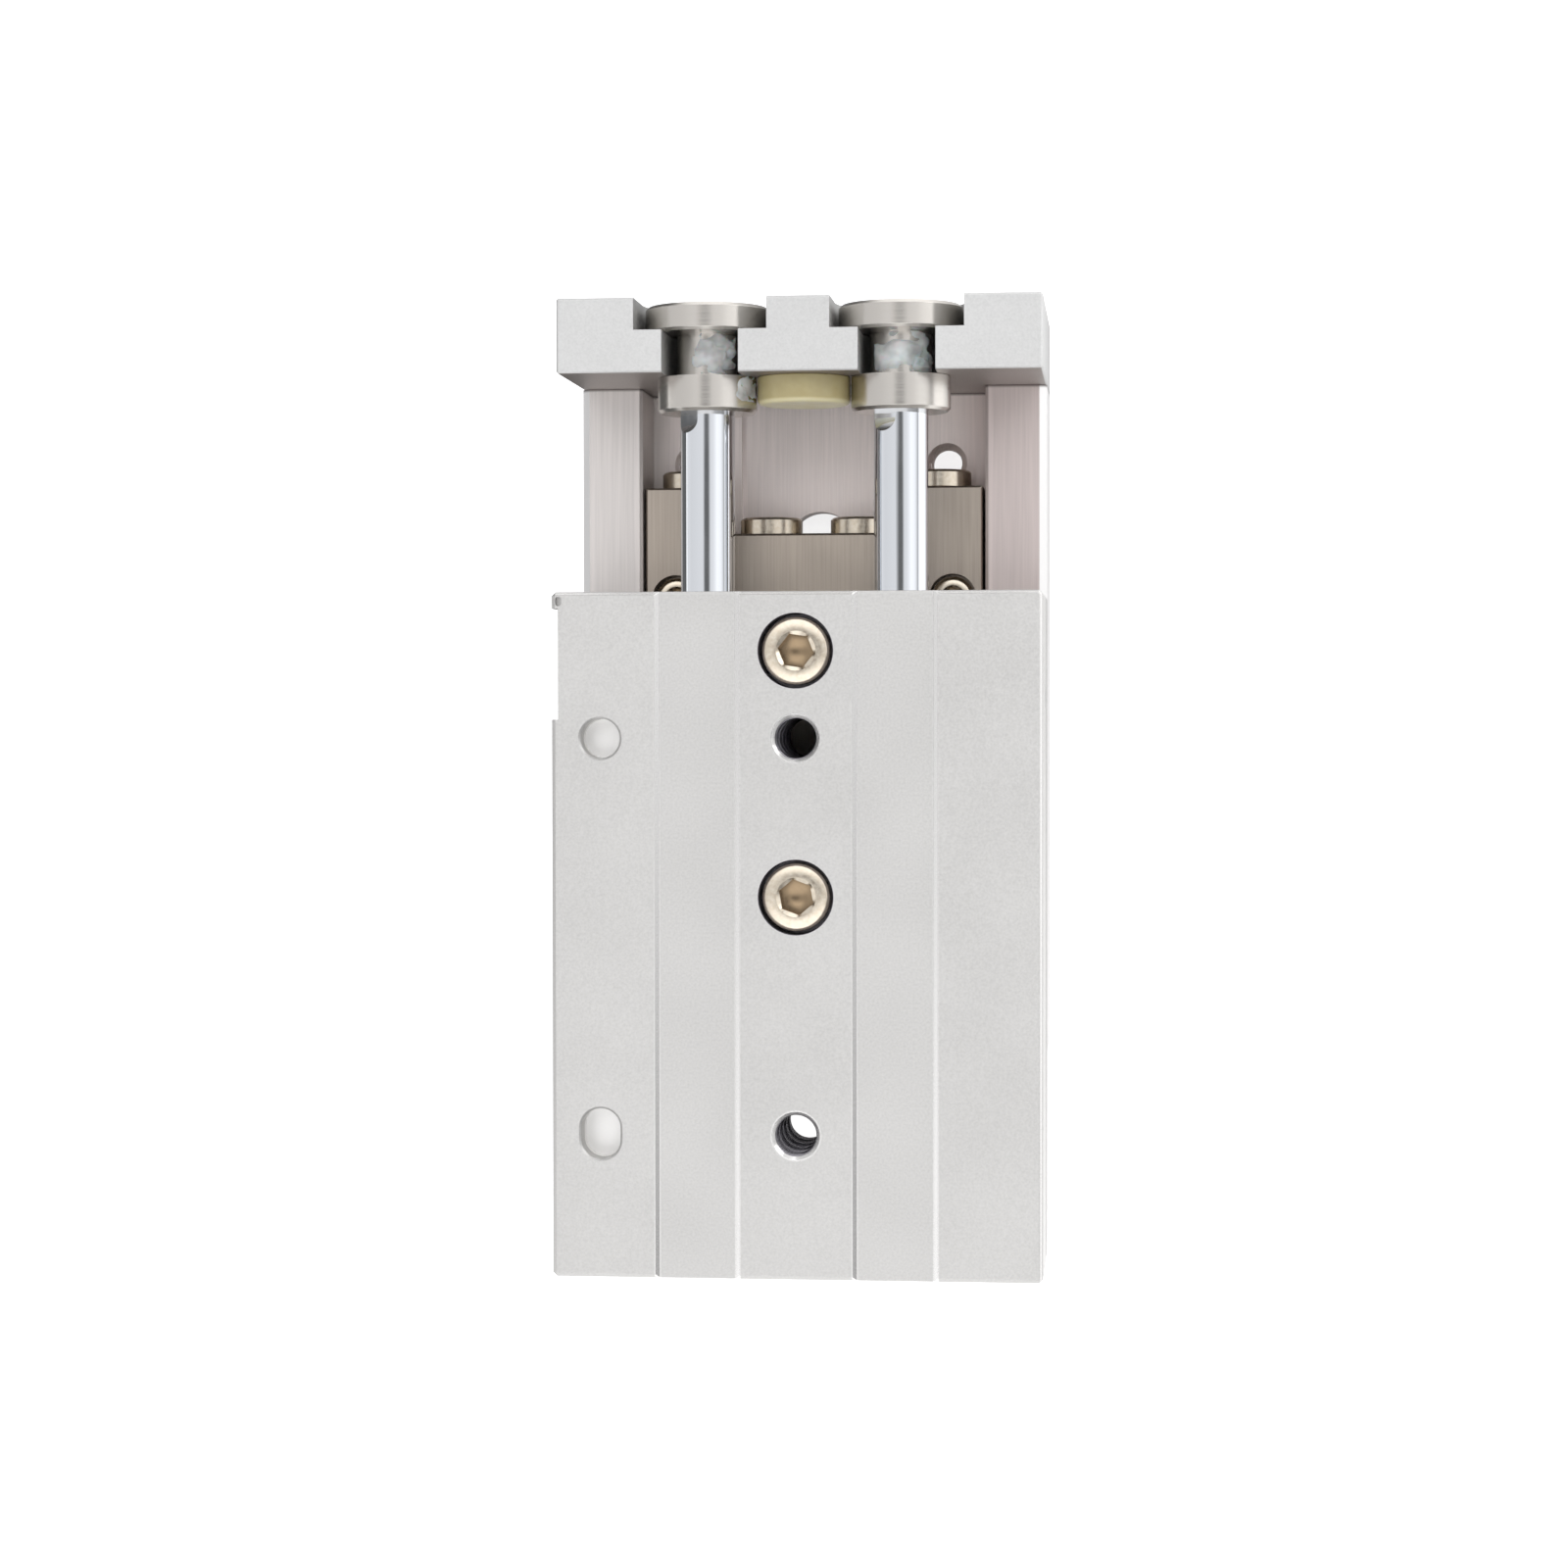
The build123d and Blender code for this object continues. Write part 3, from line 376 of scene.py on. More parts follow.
# %% Anodised finish
def anodised(name, dark, light, roughness):
    """Blasted and anodised aluminium: a fine grain, and a slow cloud of brightness under it."""
    made, tree, shader, place = finish(name, light, 0.9, roughness)
    cloud = grain(tree, place, 14, detail=1.0)
    blast = grain(tree, place, 0.3, detail=3.0)
    both = add(tree, "ShaderNodeMix", {"Factor": 0.75, "A": cloud, "B": blast})
    tinted(tree, shader, both.outputs["Result"], dark, light)
    rough = spread(tree, blast, roughness - 0.06, roughness + 0.06)
    tree.links.new(rough, shader.inputs["Roughness"])
    bumped(tree, shader, blast, 0.014, 0.45, soft_edge_mm=0.12)
    return made, tree, shader, place


plate_finish, tree, shader, place = anodised("milled and anodised aluminium", "BFBFBE", "CDCDCC", 0.46)
# Painted shade: the face that meets the table gets a darker colour, standing in for the shade and dark
# reflection on it
along = add(tree, "ShaderNodeSeparateXYZ", {"Vector": place}).outputs["Y"]
under = add(
    tree, "ShaderNodeMath", {0: along, 1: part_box("end_plate")[0][1] + 0.05 * MM},
    operation="LESS_THAN",
)
painted(tree, shader, (under.outputs[0], "9C9591"))
nodes["end_plate"].data.materials[0] = plate_finish
print("anodised finish on the end plate, darker on the face that meets the table")

# %% [markdown]
# ## The body's faces
# The blast slides off the sloping channel sides, the front and right chamfers and the mouths of the
# mounting holes. They stay smoother, and a painted highlight makes them brighter. The drilled walls
# below the mouths get painted shade, and the floors of the two pin holes get painted light. Masks from
# the part's own coordinates find them.

# %% Body finish
body_low, body_high = [[v / MM for v in corner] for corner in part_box("cylinder_body")]
# Millimetres. The mounting and guide screw holes stand on the line x = 0
CHANNEL_SIDES, CHANNEL_MIDDLE_DEPTH = (7.4, 17.6), 0.2
MOUNT_Y, MOUNT_WALL, MOUTH = (-18.5, -68.5), 2.65, 0.2
GUIDE_SCREW_Y, COUNTERBORE_WALL = (-7.5, -38.5), 4.78
PIN_X, PIN_REACH = -24.8, 2.6
PIN_FLOOR_Z, PIN_FLOOR_REACH = 36.5, 0.7
END_SKIN = 1.0
CUT_REACH, CUT_FADE = 0.28, 0.42

body_finish, tree, shader, place = anodised(
    "bead-blasted clear anodised aluminium", "B7B6B4", "C9C8C6", 0.48,
)
split = add(tree, "ShaderNodeSeparateXYZ", {"Vector": place})
across = add(tree, "ShaderNodeMath", {0: split.outputs["X"]}, operation="ABSOLUTE").outputs[0]
level = add(
    tree, "ShaderNodeCombineXYZ", {"X": split.outputs["X"], "Y": split.outputs["Y"]},
).outputs[0]


def apart(value, centre_mm):
    """How far a value in metres is from a length in millimetres."""
    gap = add(tree, "ShaderNodeMath", {0: value, 1: centre_mm * MM}, operation="SUBTRACT")
    return add(tree, "ShaderNodeMath", {0: gap.outputs[0]}, operation="ABSOLUTE").outputs[0]


def from_line(value, centre_mm, depth_mm=0.0):
    """How far a point is from a line that runs along a face, at that depth below the top."""
    both = {0: apart(value, centre_mm), 1: apart(split.outputs["Z"], body_high[2] - depth_mm)}
    return add(tree, "ShaderNodeMath", both, operation="MAXIMUM").outputs[0]


def least(found, *others):
    """The smallest of several distances."""
    for other in others:
        found = add(tree, "ShaderNodeMath", {0: found, 1: other}, operation="MINIMUM").outputs[0]
    return found


cuts = [from_line(across, side, CHANNEL_MIDDLE_DEPTH) for side in CHANNEL_SIDES]
cuts += [from_line(split.outputs["X"], body_high[0]), from_line(split.outputs["Y"], body_high[1])]
past_walls = []
for wall, hole_ys in ((MOUNT_WALL, MOUNT_Y), (COUNTERBORE_WALL, GUIDE_SCREW_Y)):
    for y in hole_ys:
        reach = add(
            tree, "ShaderNodeVectorMath", {0: level, 1: (0, y * MM, 0)}, operation="DISTANCE",
        ).outputs["Value"]
        past = add(tree, "ShaderNodeMath", {0: reach, 1: wall * MM}, operation="SUBTRACT")
        past_walls.append(past.outputs[0])
        if wall == MOUNT_WALL:
            cuts.append(apart(reach, wall + MOUTH))

cut = least(*cuts)
smooth = add(tree, "ShaderNodeMapRange", {
    "Value": cut, "From Min": CUT_REACH * MM, "From Max": CUT_FADE * MM, "To Min": 0.45, "To Max": 1.0,
})
# Painted highlight: a brighter colour on the channel sides, the front and right chamfers and the
# mounting holes' mouths
painted_highlight = add(
    tree, "ShaderNodeMapRange",
    {"Value": cut, "From Min": CUT_FADE * MM, "From Max": CUT_REACH * MM},
)
# Painted shade: a darker colour inside the mounting holes and the guide screws' counterbores
drilled = add(tree, "ShaderNodeMath", {0: least(*past_walls), 1: 0.0}, operation="LESS_THAN")
# Painted light: a paler colour on the floors of the two pin holes
from_pin, from_floor = apart(split.outputs["X"], PIN_X), apart(split.outputs["Z"], PIN_FLOOR_Z)
at_pin = add(tree, "ShaderNodeMath", {0: from_pin, 1: PIN_REACH * MM}, operation="LESS_THAN")
on_floor = add(
    tree, "ShaderNodeMath", {0: from_floor, 1: PIN_FLOOR_REACH * MM}, operation="LESS_THAN",
)
middle, half = (body_low[1] + body_high[1]) / 2, (body_high[1] - body_low[1]) / 2
from_middle = apart(split.outputs["Y"], middle)
within = add(
    tree, "ShaderNodeMath", {0: from_middle, 1: (half - END_SKIN) * MM}, operation="LESS_THAN",
)
painted_pin_floor_light = at_pin
for mask in (on_floor, within):
    painted_pin_floor_light = add(
        tree, "ShaderNodeMath", {0: painted_pin_floor_light.outputs[0], 1: mask.outputs[0]}, operation="MULTIPLY",
    )
rough = add(
    tree, "ShaderNodeMath",
    {0: shader.inputs["Roughness"].links[0].from_socket, 1: smooth.outputs["Result"]},
    operation="MULTIPLY",
)
tree.links.new(rough.outputs[0], shader.inputs["Roughness"])
painted(
    tree, shader,
    (painted_highlight.outputs["Result"], "D8D7D5"), (drilled.outputs[0], "97959A"), (painted_pin_floor_light.outputs[0], "EDECEA"),
)
nodes["cylinder_body"].data.materials[0] = body_finish
print("body finish with", len(cuts), "smooth cuts and", len(past_walls), "drilled walls")

# %% [markdown]
# ## The table's milled faces
# The table is the same aluminium, but its channel and the tops of its walls are milled after the
# outside, with the cutter's fine lines along the stroke and a slightly warmer, pinkish grey. Across the
# channel that grey gets painted shade towards the walls. Masks from the part's own coordinates tell the
# blasted outside from the milled faces, and paint a line of shade along the seam to the end plate.

# %% Table finish
table_low, table_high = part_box("table")
CHANNEL_HALF = 24 * MM
BLASTED_SKIN = 0.98 * MM
SEAM_SHADE_SPAN = (0.4 * MM, 0.1 * MM)
SEAM_SHADE_DEPTH = 0.75
# From the left wall, over the channel's floor, to the right wall: a pinkish tone, near white on the
# floor, with painted shade darkening it near both walls and most at the right
PINK_TONES_AND_WALL_SHADE = ((0.0, "D4CFCC"), (0.09, "FBF2EF"), (0.85, "FBF1ED"), (0.95, "EADDD9"), (1.0, "C6BBB8"))

table_finish, tree, shader, place = finish("milled and anodised aluminium, table", "CFC8C6", 0.8, 0.42)
split = add(tree, "ShaderNodeSeparateXYZ", {"Vector": place})
lines = grain(tree, place, 0.30, stretch=(1, 0.02, 1))
tinted(tree, shader, lines, "F0F0F0", "FFFFFF")
streaks = shader.inputs["Base Color"].links[0].from_socket
side = add(
    tree, "ShaderNodeMapRange",
    {"Value": split.outputs["X"], "From Min": -CHANNEL_HALF, "From Max": CHANNEL_HALF},
)
# Pinkish tone across the channel, with painted shade towards the walls
pink_tone_and_wall_shade = ramp(tree, side.outputs["Result"], [(position, linear(code)) for position, code in PINK_TONES_AND_WALL_SHADE])
tone = add(
    tree, "ShaderNodeMix", {"Factor": 1.0, "A": pink_tone_and_wall_shade, "B": streaks},
    data_type="RGBA", blend_type="MULTIPLY",
)
tree.links.new(tone.outputs[2], shader.inputs["Base Color"])
outward = add(tree, "ShaderNodeMath", {0: split.outputs["X"]}, operation="ABSOLUTE")
outside = add(
    tree, "ShaderNodeMath", {0: outward.outputs[0], 1: table_high[0] - BLASTED_SKIN},
    operation="GREATER_THAN",
)
below = add(
    tree, "ShaderNodeMath", {0: split.outputs["Z"], 1: table_low[2] + 0.02 * MM},
    operation="LESS_THAN",
)
blasted = add(tree, "ShaderNodeMath", {0: outside.outputs[0], 1: below.outputs[0]}, operation="MAXIMUM")
# Painted shade: a dark brown band along the seam where the walls meet the end plate
seam_shade = add(tree, "ShaderNodeMapRange", {
    "Value": split.outputs["Y"], "To Max": SEAM_SHADE_DEPTH,
    "From Min": table_high[1] - SEAM_SHADE_SPAN[0], "From Max": table_high[1] - SEAM_SHADE_SPAN[1],
})
painted(tree, shader, (blasted.outputs[0], "DFDEDD"), (seam_shade.outputs["Result"], "4A403C"))
tree.links.new(spread(tree, lines, 0.46, 0.54), shader.inputs["Roughness"])
bumped(tree, shader, lines, 0.006, 0.3, soft_edge_mm=0.10)
nodes["table"].data.materials[0] = table_finish
print("table finish over", [round((h - l) / MM, 1) for l, h in zip(table_low, table_high)], "mm")

# %% [markdown]
# ## Steel and chrome
# The guide and the rails are hardened steel, ground along the stroke to a warm grey with hair
# lines. The rods are hard chrome, a clear mirror with the faintest haze.

# %% Ground steel and chrome
steel_finish, tree, shader, place = finish("hardened and ground steel", "A59C94", 1.0, 0.34)
lines = grain(tree, place, 0.22, stretch=(1, 0.015, 1), detail=3.0)
cloud = grain(tree, place, 9, detail=1.0)
tinted(tree, shader, lines, "A2988E", "AEA499")
tree.links.new(spread(tree, cloud, 0.30, 0.40), shader.inputs["Roughness"])
bumped(tree, shader, lines, 0.005, 0.3, soft_edge_mm=0.10)
for name in ("guide_block", "rail_left", "rail_right"):
    nodes[name].data.materials[0] = steel_finish

chrome_finish, tree, shader, place = finish("polished hard chrome", "D9DCE0", 1.0, 0.07)
haze = grain(tree, place, 1.2, stretch=(1, 0.2, 1))
tree.links.new(spread(tree, haze, 0.05, 0.10), shader.inputs["Roughness"])
bumped(tree, shader, haze, 0.004, 0.15)
for name in ("piston_rod_left", "piston_rod_right"):
    nodes[name].data.materials[0] = chrome_finish
print("steel and chrome on 5 nodes")

# %% [markdown]
# ## Turned metals
# Bushes and cages are turned stainless steel, and the covers, caps and pistons turned aluminium.
# The rings are phosphated, a dark grey conversion coat, and the plugs of the air passages are dull
# from sealing. Lathe marks run round the bores' axes, so their pattern uses the distance from the
# nearer axis.

# %% Turned metals
BORE_X = abs(sum(v[0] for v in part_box("piston_rod_right")) / 2)
BORE_Z = sum(v[2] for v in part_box("piston_rod_right")) / 2


def turned(name, colour, roughness):
    """A lathe-turned metal: rings round the nearer bore's axis."""
    made, tree, shader, place = finish(name, colour, 1.0, roughness)
    split = add(tree, "ShaderNodeSeparateXYZ", {"Vector": place})
    across = add(tree, "ShaderNodeMath", {0: split.outputs["X"]}, operation="ABSOLUTE")
    across = add(tree, "ShaderNodeMath", {0: across.outputs[0], 1: BORE_X}, operation="SUBTRACT")
    upward = add(tree, "ShaderNodeMath", {0: split.outputs["Z"], 1: BORE_Z}, operation="SUBTRACT")
    flat = add(tree, "ShaderNodeCombineXYZ", {"X": across.outputs[0], "Y": upward.outputs[0]})
    reach = add(tree, "ShaderNodeVectorMath", {0: flat.outputs[0]}, operation="LENGTH")
    along = add(
        tree, "ShaderNodeMath", {0: reach.outputs["Value"], 1: split.outputs["Y"]}, operation="ADD",
    )
    ringed = add(tree, "ShaderNodeCombineXYZ", {"X": along.outputs[0]})
    marks = grain(tree, ringed.outputs[0], 0.3)
    tree.links.new(spread(tree, marks, roughness - 0.03, roughness + 0.04), shader.inputs["Roughness"])
    bumped(tree, shader, marks, 0.002, 0.25, soft_edge_mm=0.08)
    return made


stainless = turned("turned stainless steel", "C5C1BB", 0.22)
turned_aluminium = turned("turned aluminium", "D5D5D4", 0.32)
phosphated = turned("phosphated spring steel", "3C3B3D", 0.5)
plugged = turned("pressed and sealed aluminium plug", "A2A2A1", 0.46)
for name, made in (
    ("floating_bush", stainless), ("roller_cage", stainless), ("rod_cover", turned_aluminium),
    ("head_cap", turned_aluminium), ("piston", turned_aluminium), ("cover_ring", phosphated),
    ("cap_ring", phosphated), ("piston_nut", phosphated), ("rollers", chrome_finish),
):
    for side in ("left", "right"):
        nodes[f"{name}_{side}"].data.materials[0] = made
nodes["passage_plugs"].data.materials[0] = plugged
print("bore axes at x =", round(BORE_X / MM, 2), "mm, z =", round(BORE_Z / MM, 2), "mm")

# %% [markdown]
# ## Rubber and plastics
# Seals and O-rings are moulded nitrile rubber, black and nearly matt. The magnets are a bonded ferrite,
# the wear rings acetal. The end bumper is cast polyurethane, an olive amber that lets a little light
# through, so it gets subsurface scattering. Its tip gets a painted highlight: a paler rim where the
# light passes.

# %% Rubber and plastic finishes
def moulded(name, dark, light, roughness, grain_mm):
    """A rubber or plastic: a fine speckle in its colour, its gloss and its skin."""
    made, tree, shader, place = finish(name, light, 0.0, roughness)
    speck = grain(tree, place, grain_mm, detail=3.0)
    tinted(tree, shader, speck, dark, light)
    tree.links.new(spread(tree, speck, roughness - 0.08, roughness + 0.08), shader.inputs["Roughness"])
    bumped(tree, shader, speck, 0.01, 0.4)
    return made, tree, shader, place


nitrile = moulded("moulded nitrile rubber", "131313", "1D1D1E", 0.55, 0.3)[0]
ferrite = moulded("bonded ferrite magnet", "262424", "312F2E", 0.6, 0.25)[0]
acetal = moulded("moulded acetal", "D5D1C6", "DFDBD0", 0.4, 0.3)[0]
urethane, tree, shader, place = moulded("cast polyurethane", "A2966C", "A99E75", 0.38, 1.5)
along = add(tree, "ShaderNodeSeparateXYZ", {"Vector": place}).outputs["Y"]
tip_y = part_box("end_bumper")[0][1]
# Painted highlight: a paler colour over the last 0.6 mm at the bumper's tip
painted_rim_highlight = add(
    tree, "ShaderNodeMapRange",
    {"Value": along, "From Min": tip_y + 0.6 * MM, "From Max": tip_y + 0.2 * MM},
)
painted(tree, shader, (painted_rim_highlight.outputs["Result"], "CFC8A4"))
shader.inputs["Subsurface Weight"].default_value = 0.35
shader.inputs["Subsurface Radius"].default_value = (1.0, 0.8, 0.4)
shader.inputs["Subsurface Scale"].default_value = 1.2 * MM
shader.inputs["Coat Weight"].default_value = 0.2
for name, made in (
    ("rod_seal", nitrile), ("cover_o_ring", nitrile), ("cap_o_ring", nitrile), ("piston_seal", nitrile),
    ("piston_magnet", ferrite), ("wear_ring", acetal), ("piston_bumper", urethane),
):
    for side in ("left", "right"):
        nodes[f"{name}_{side}"].data.materials[0] = made
print("rubber and plastic on 14 nodes")

# %% [markdown]
# ## Turned and six-sided shapes
# A screw head or a bumper is a stack of rings about one axis. Each ring has a height, a radius and
# a count of corners: none for round, six for a hexagon. The rings are joined by quads, which keeps
# the socket's flats crisp and the shape closed.

# %% Stacked rings
def ring_radius(radius, corners, turned_by):
    """The radius of a round or many-sided ring at that angle. A polygon's radius is to its flat."""
    if not corners:
        return radius
    wedge = tau / corners
    return radius / cos((turned_by % wedge) - wedge / 2)


def stacked(name, rings, around=48, deep_below=0.0, deep_reach=0.0):
    """A closed mesh about +Z from (height, radius, corners) rings in millimetres, bottom to top.

    Points nearer the axis than deep_reach and lower than deep_below get the attribute "deep".
    """
    made = bmesh.new()
    rows = []
    for height, radius, corners in rings:
        row = []
        for step in range(around if radius else 1):
            turned_by = tau * step / around
            reach = ring_radius(radius, corners, turned_by) * MM
            row.append(made.verts.new((reach * cos(turned_by), reach * sin(turned_by), height * MM)))
        rows.append(row)
    for lower, upper in zip(rows, rows[1:]):
        for step in range(around):
            after = (step + 1) % around
            loop = [lower[step % len(lower)], lower[after % len(lower)]]
            loop += [upper[after % len(upper)], upper[step % len(upper)]]
            unique = list(dict.fromkeys(loop))
            if len(unique) > 2:
                made.faces.new(unique)
    bmesh.ops.recalc_face_normals(made, faces=made.faces)
    mesh = bpy.data.meshes.new(name)
    made.to_mesh(mesh)
    made.free()
    socket_stain_and_shade = mesh.attributes.new("socket_stain_and_shade", "FLOAT", "POINT")
    for item, vertex in zip(socket_stain_and_shade.data, mesh.vertices):
        sunk = 0 < vertex.co.z < deep_below * MM
        item.value = 1.0 if sunk and vertex.co.xy.length < deep_reach * MM else 0.0
    mesh.shade_smooth()
    mesh.set_sharp_from_angle(angle=radians(28))
    return mesh


# %% Socket screws
def socket_screw(name, diameter, length, head, height, key, key_depth):
    """A socket screw as one closed mesh: its seat is at the origin and its head is up."""
    edge = 0.35
    round_edge = edge * 0.3
    bevel = 0.3
    mouth = key / 2 / cos(pi / 6) + 0.2
    floor = height - key_depth
    return stacked(name, [
        (-length, 0, 0), (-length, diameter / 2 - edge, 0), (-length + edge, diameter / 2, 0),
        (0, diameter / 2, 0), (0, head / 2 - round_edge, 0), (round_edge, head / 2, 0),
        (height - edge, head / 2, 0), (height - round_edge, head / 2 - edge + round_edge, 0),
        (height, head / 2 - edge - round_edge, 0), (height, mouth, 0), (height - bevel, key / 2, 6),
        (height - bevel - 0.06, key / 2, 6), (floor, key / 2, 6), (floor, key / 4, 0),
        (floor - key / 8, 0, 0),
    ], deep_below=height - bevel - 0.03, deep_reach=mouth)


# Diameter, length, head diameter, head height, key width and key depth, in millimetres
SCREWS = {
    "m5": (5.0, 24.0, 8.5, 5.0, 4.0, 2.5),
    "m4": (4.0, 14.0, 7.0, 4.0, 3.0, 2.0),
    "m3": (3.0, 10.0, 5.5, 3.0, 2.5, 1.5),
    "stop": (3.0, 8.0, 8.3, 2.35, 2.0, 1.2),
}
screw_meshes = {kind: socket_screw(f"screw_{kind}", *sizes) for kind, sizes in SCREWS.items()}
head_heights = {kind: sizes[3] for kind, sizes in SCREWS.items()}
print("screw meshes:", {kind: len(mesh.polygons) for kind, mesh in screw_meshes.items()})

# %% [markdown]
# ## Nickel plated screws
# Nickel is a warm, slightly yellow metal. Rolled and plated heads have a fine, soft gloss. The pressed
# sockets are brown with thread lock and old plating, and darker with painted shade in the recess; a
# point attribute on the screw mesh marks them.

# %% Screw finish
nickel, tree, shader, place = finish("nickel plated steel", "CDC2AF", 1.0, 0.24)
speck = grain(tree, place, 0.6)
tinted(tree, shader, speck, "CBBFAD", "D6CDBD")
tree.links.new(spread(tree, speck, 0.20, 0.27), shader.inputs["Roughness"])
bumped(tree, shader, speck, 0.002, 0.15)
# The sockets' brown: partly their own stain, partly painted shade in the recess
socket_stain_and_shade = add(tree, "ShaderNodeAttribute", attribute_name="socket_stain_and_shade")
painted(tree, shader, (socket_stain_and_shade.outputs["Fac"], "8E7B63"))
print("made", nickel.name)

# %% [markdown]
# ## Setting the screws with Geometry Nodes
# The same screw sits in many places, so it is made once and instanced. Each place is a point that
# carries the way its head faces. The tree's inputs are the screw, the finish, and the reach and
# the seed of a small extra spin, because nobody tightens screws to the same angle. Instances don't
# survive the export, so the tree ends in Realize Instances and Set Material.

# %% Running a geometry tree
def modified_mesh(name, mesh, tree, values):
    """Runs the tree on the mesh with inputs by name, and returns the plain result as an object."""
    made = bpy.data.objects.new(name, mesh)
    scene.collection.objects.link(made)
    modifier = made.modifiers.new("nodes", "NODES")
    modifier.node_group = tree
    for item in tree.interface.items_tree:
        if item.item_type == "SOCKET" and item.in_out == "INPUT" and item.name in values:
            modifier[item.identifier] = values[item.name]
    evaluated = made.evaluated_get(bpy.context.evaluated_depsgraph_get())
    result = bpy.data.meshes.new_from_object(evaluated)
    made.modifiers.clear()
    result.name = name
    made.data = result
    return made


def geometry_tree(name, sockets):
    """A new geometry tree with a geometry input and output, and more named inputs."""
    tree = bpy.data.node_groups.new(name, "GeometryNodeTree")
    tree.interface.new_socket("Geometry", in_out="INPUT", socket_type="NodeSocketGeometry")
    for label, kind in sockets:
        tree.interface.new_socket(label, in_out="INPUT", socket_type=kind)
    tree.interface.new_socket("Geometry", in_out="OUTPUT", socket_type="NodeSocketGeometry")
    return tree, add(tree, "NodeGroupInput").outputs


def close_tree(tree, geometry, material):
    """Ends a geometry tree: makes its instances real and gives them their material."""
    real = add(tree, "GeometryNodeRealizeInstances", {"Geometry": geometry})
    dressed = add(
        tree, "GeometryNodeSetMaterial", {"Geometry": real.outputs[0], "Material": material},
    )
    add(tree, "NodeGroupOutput", {"Geometry": dressed.outputs[0]})
    print("tree", tree.name, "has", len(tree.nodes), "nodes")


# %% A tree that sets one piece in many places
setting, given = geometry_tree("set in places", [
    ("Piece", "NodeSocketObject"), ("Finish", "NodeSocketMaterial"),
    ("Loose Spin", "NodeSocketFloat"), ("Seed", "NodeSocketInt"),
])
facing = add(
    setting, "GeometryNodeInputNamedAttribute", {"Name": "facing"}, data_type="FLOAT_VECTOR",
)
upright = add(setting, "FunctionNodeAlignRotationToVector", {"Vector": facing.outputs[0]}, axis="Z")
loose = add(
    setting, "FunctionNodeRandomValue",
    {"Min": 0.0, "Max": given["Loose Spin"], "Seed": given["Seed"]}, data_type="FLOAT",
)
spin = add(
    setting, "FunctionNodeAxisAngleToRotation", {"Axis": (0, 0, 1), "Angle": loose.outputs["Value"]},
)
turned_by = add(
    setting, "FunctionNodeRotateRotation",
    {"Rotation": upright.outputs[0], "Rotate By": spin.outputs[0]}, rotation_space="LOCAL",
)
piece = add(setting, "GeometryNodeObjectInfo", {"Object": given["Piece"]})
points = add(setting, "GeometryNodeMeshToPoints", {"Mesh": given["Geometry"]})
copies = add(setting, "GeometryNodeInstanceOnPoints", {
    "Points": points.outputs[0], "Instance": piece.outputs["Geometry"], "Rotation": turned_by.outputs[0],
})
close_tree(setting, copies.outputs[0], given["Finish"])


def placed_points(name, places):
    """A mesh of bare points, each with the way its piece faces. Places are millimetres."""
    mesh = bpy.data.meshes.new(name)
    mesh.from_pydata([tuple(v * MM for v in at) for at, way in places], [], [])
    attribute = mesh.attributes.new("facing", "FLOAT_VECTOR", "POINT")
    for item, (at, way) in zip(attribute.data, places):
        item.vector = way
    return mesh


def set_in_places(name, mesh, places, material, body, loose_spin=0.0, seed=1, stands_for=()):
    """Sets a mesh in every place as one object that rides on a body."""
    template = bpy.data.objects.new(name + "_template", mesh)
    made = modified_mesh(name, placed_points(name + "_places", places), setting, {
        "Piece": template, "Finish": material, "Loose Spin": loose_spin, "Seed": seed,
    })
    bpy.data.objects.remove(template)
    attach(made, body)
    if stands_for:
        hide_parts(*stands_for)
    return made


# %% Set the screws
guide_low, guide_high = [[v / MM for v in corner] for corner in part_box("guide_block")]
rail_low, rail_high = [[v / MM for v in corner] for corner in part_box("rail_right")]
plate_low, plate_high = [[v / MM for v in corner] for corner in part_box("end_plate")]
UP, AHEAD_WAY, BACK_WAY, DOWN = (0, 0, 1), (0, 1, 0), (0, -1, 0), (0, 0, -1)
SINK = 0.4
PLATE_SCREW_X, PLATE_SCREW_Z = (-26.5, 26.5), (4.4, 12.6)
RAIL_SCREW_X = (rail_low[0] + rail_high[0]) / 2 + 1.2
RAIL_SCREW_Y, RAIL_SINK = (0, -16.8, -33.6), 1.2
ROLLER_Z = 10.5
GUIDE_STOP_X, RAIL_STOP_X = 6.05, 16.6


def stop_places(x, low, high):
    """Stop screws at both ends of a guide or a rail, left and right of the middle."""
    ends = ((high[1], AHEAD_WAY), (low[1], BACK_WAY))
    return [((side * x, y, ROLLER_Z), way) for side in (-1, 1) for y, way in ends]


guide_seat = body_high[2] - SINK - head_heights["m5"]
plate_seat = plate_high[1] - SINK - head_heights["m4"]
rail_seat = rail_high[2] - RAIL_SINK - head_heights["m3"]
screw_places = {
    "guide_screws": ("m5", "cylinder", [((0, y, guide_seat), UP) for y in GUIDE_SCREW_Y]),
    "end_plate_screws": ("m4", "slide", [
        ((x, plate_seat, z), AHEAD_WAY) for x in PLATE_SCREW_X for z in PLATE_SCREW_Z
    ]),
    "rail_screws": ("m3", "slide", [
        ((side * RAIL_SCREW_X, y, rail_seat), UP) for side in (-1, 1) for y in RAIL_SCREW_Y
    ]),
    "guide_stop_screws": ("stop", "cylinder", stop_places(GUIDE_STOP_X, guide_low, guide_high)),
    "rail_stop_screws": ("stop", "slide", stop_places(RAIL_STOP_X, rail_low, rail_high)),
}
for seed, (name, (kind, body, places)) in enumerate(screw_places.items(), start=3):
    made = set_in_places(
        name + "_dressed", screw_meshes[kind], places, nickel, body,
        loose_spin=1.0, seed=seed, stands_for=(name,),
    )
    print(made.name, len(made.data.polygons), "faces at", len(places), "places")

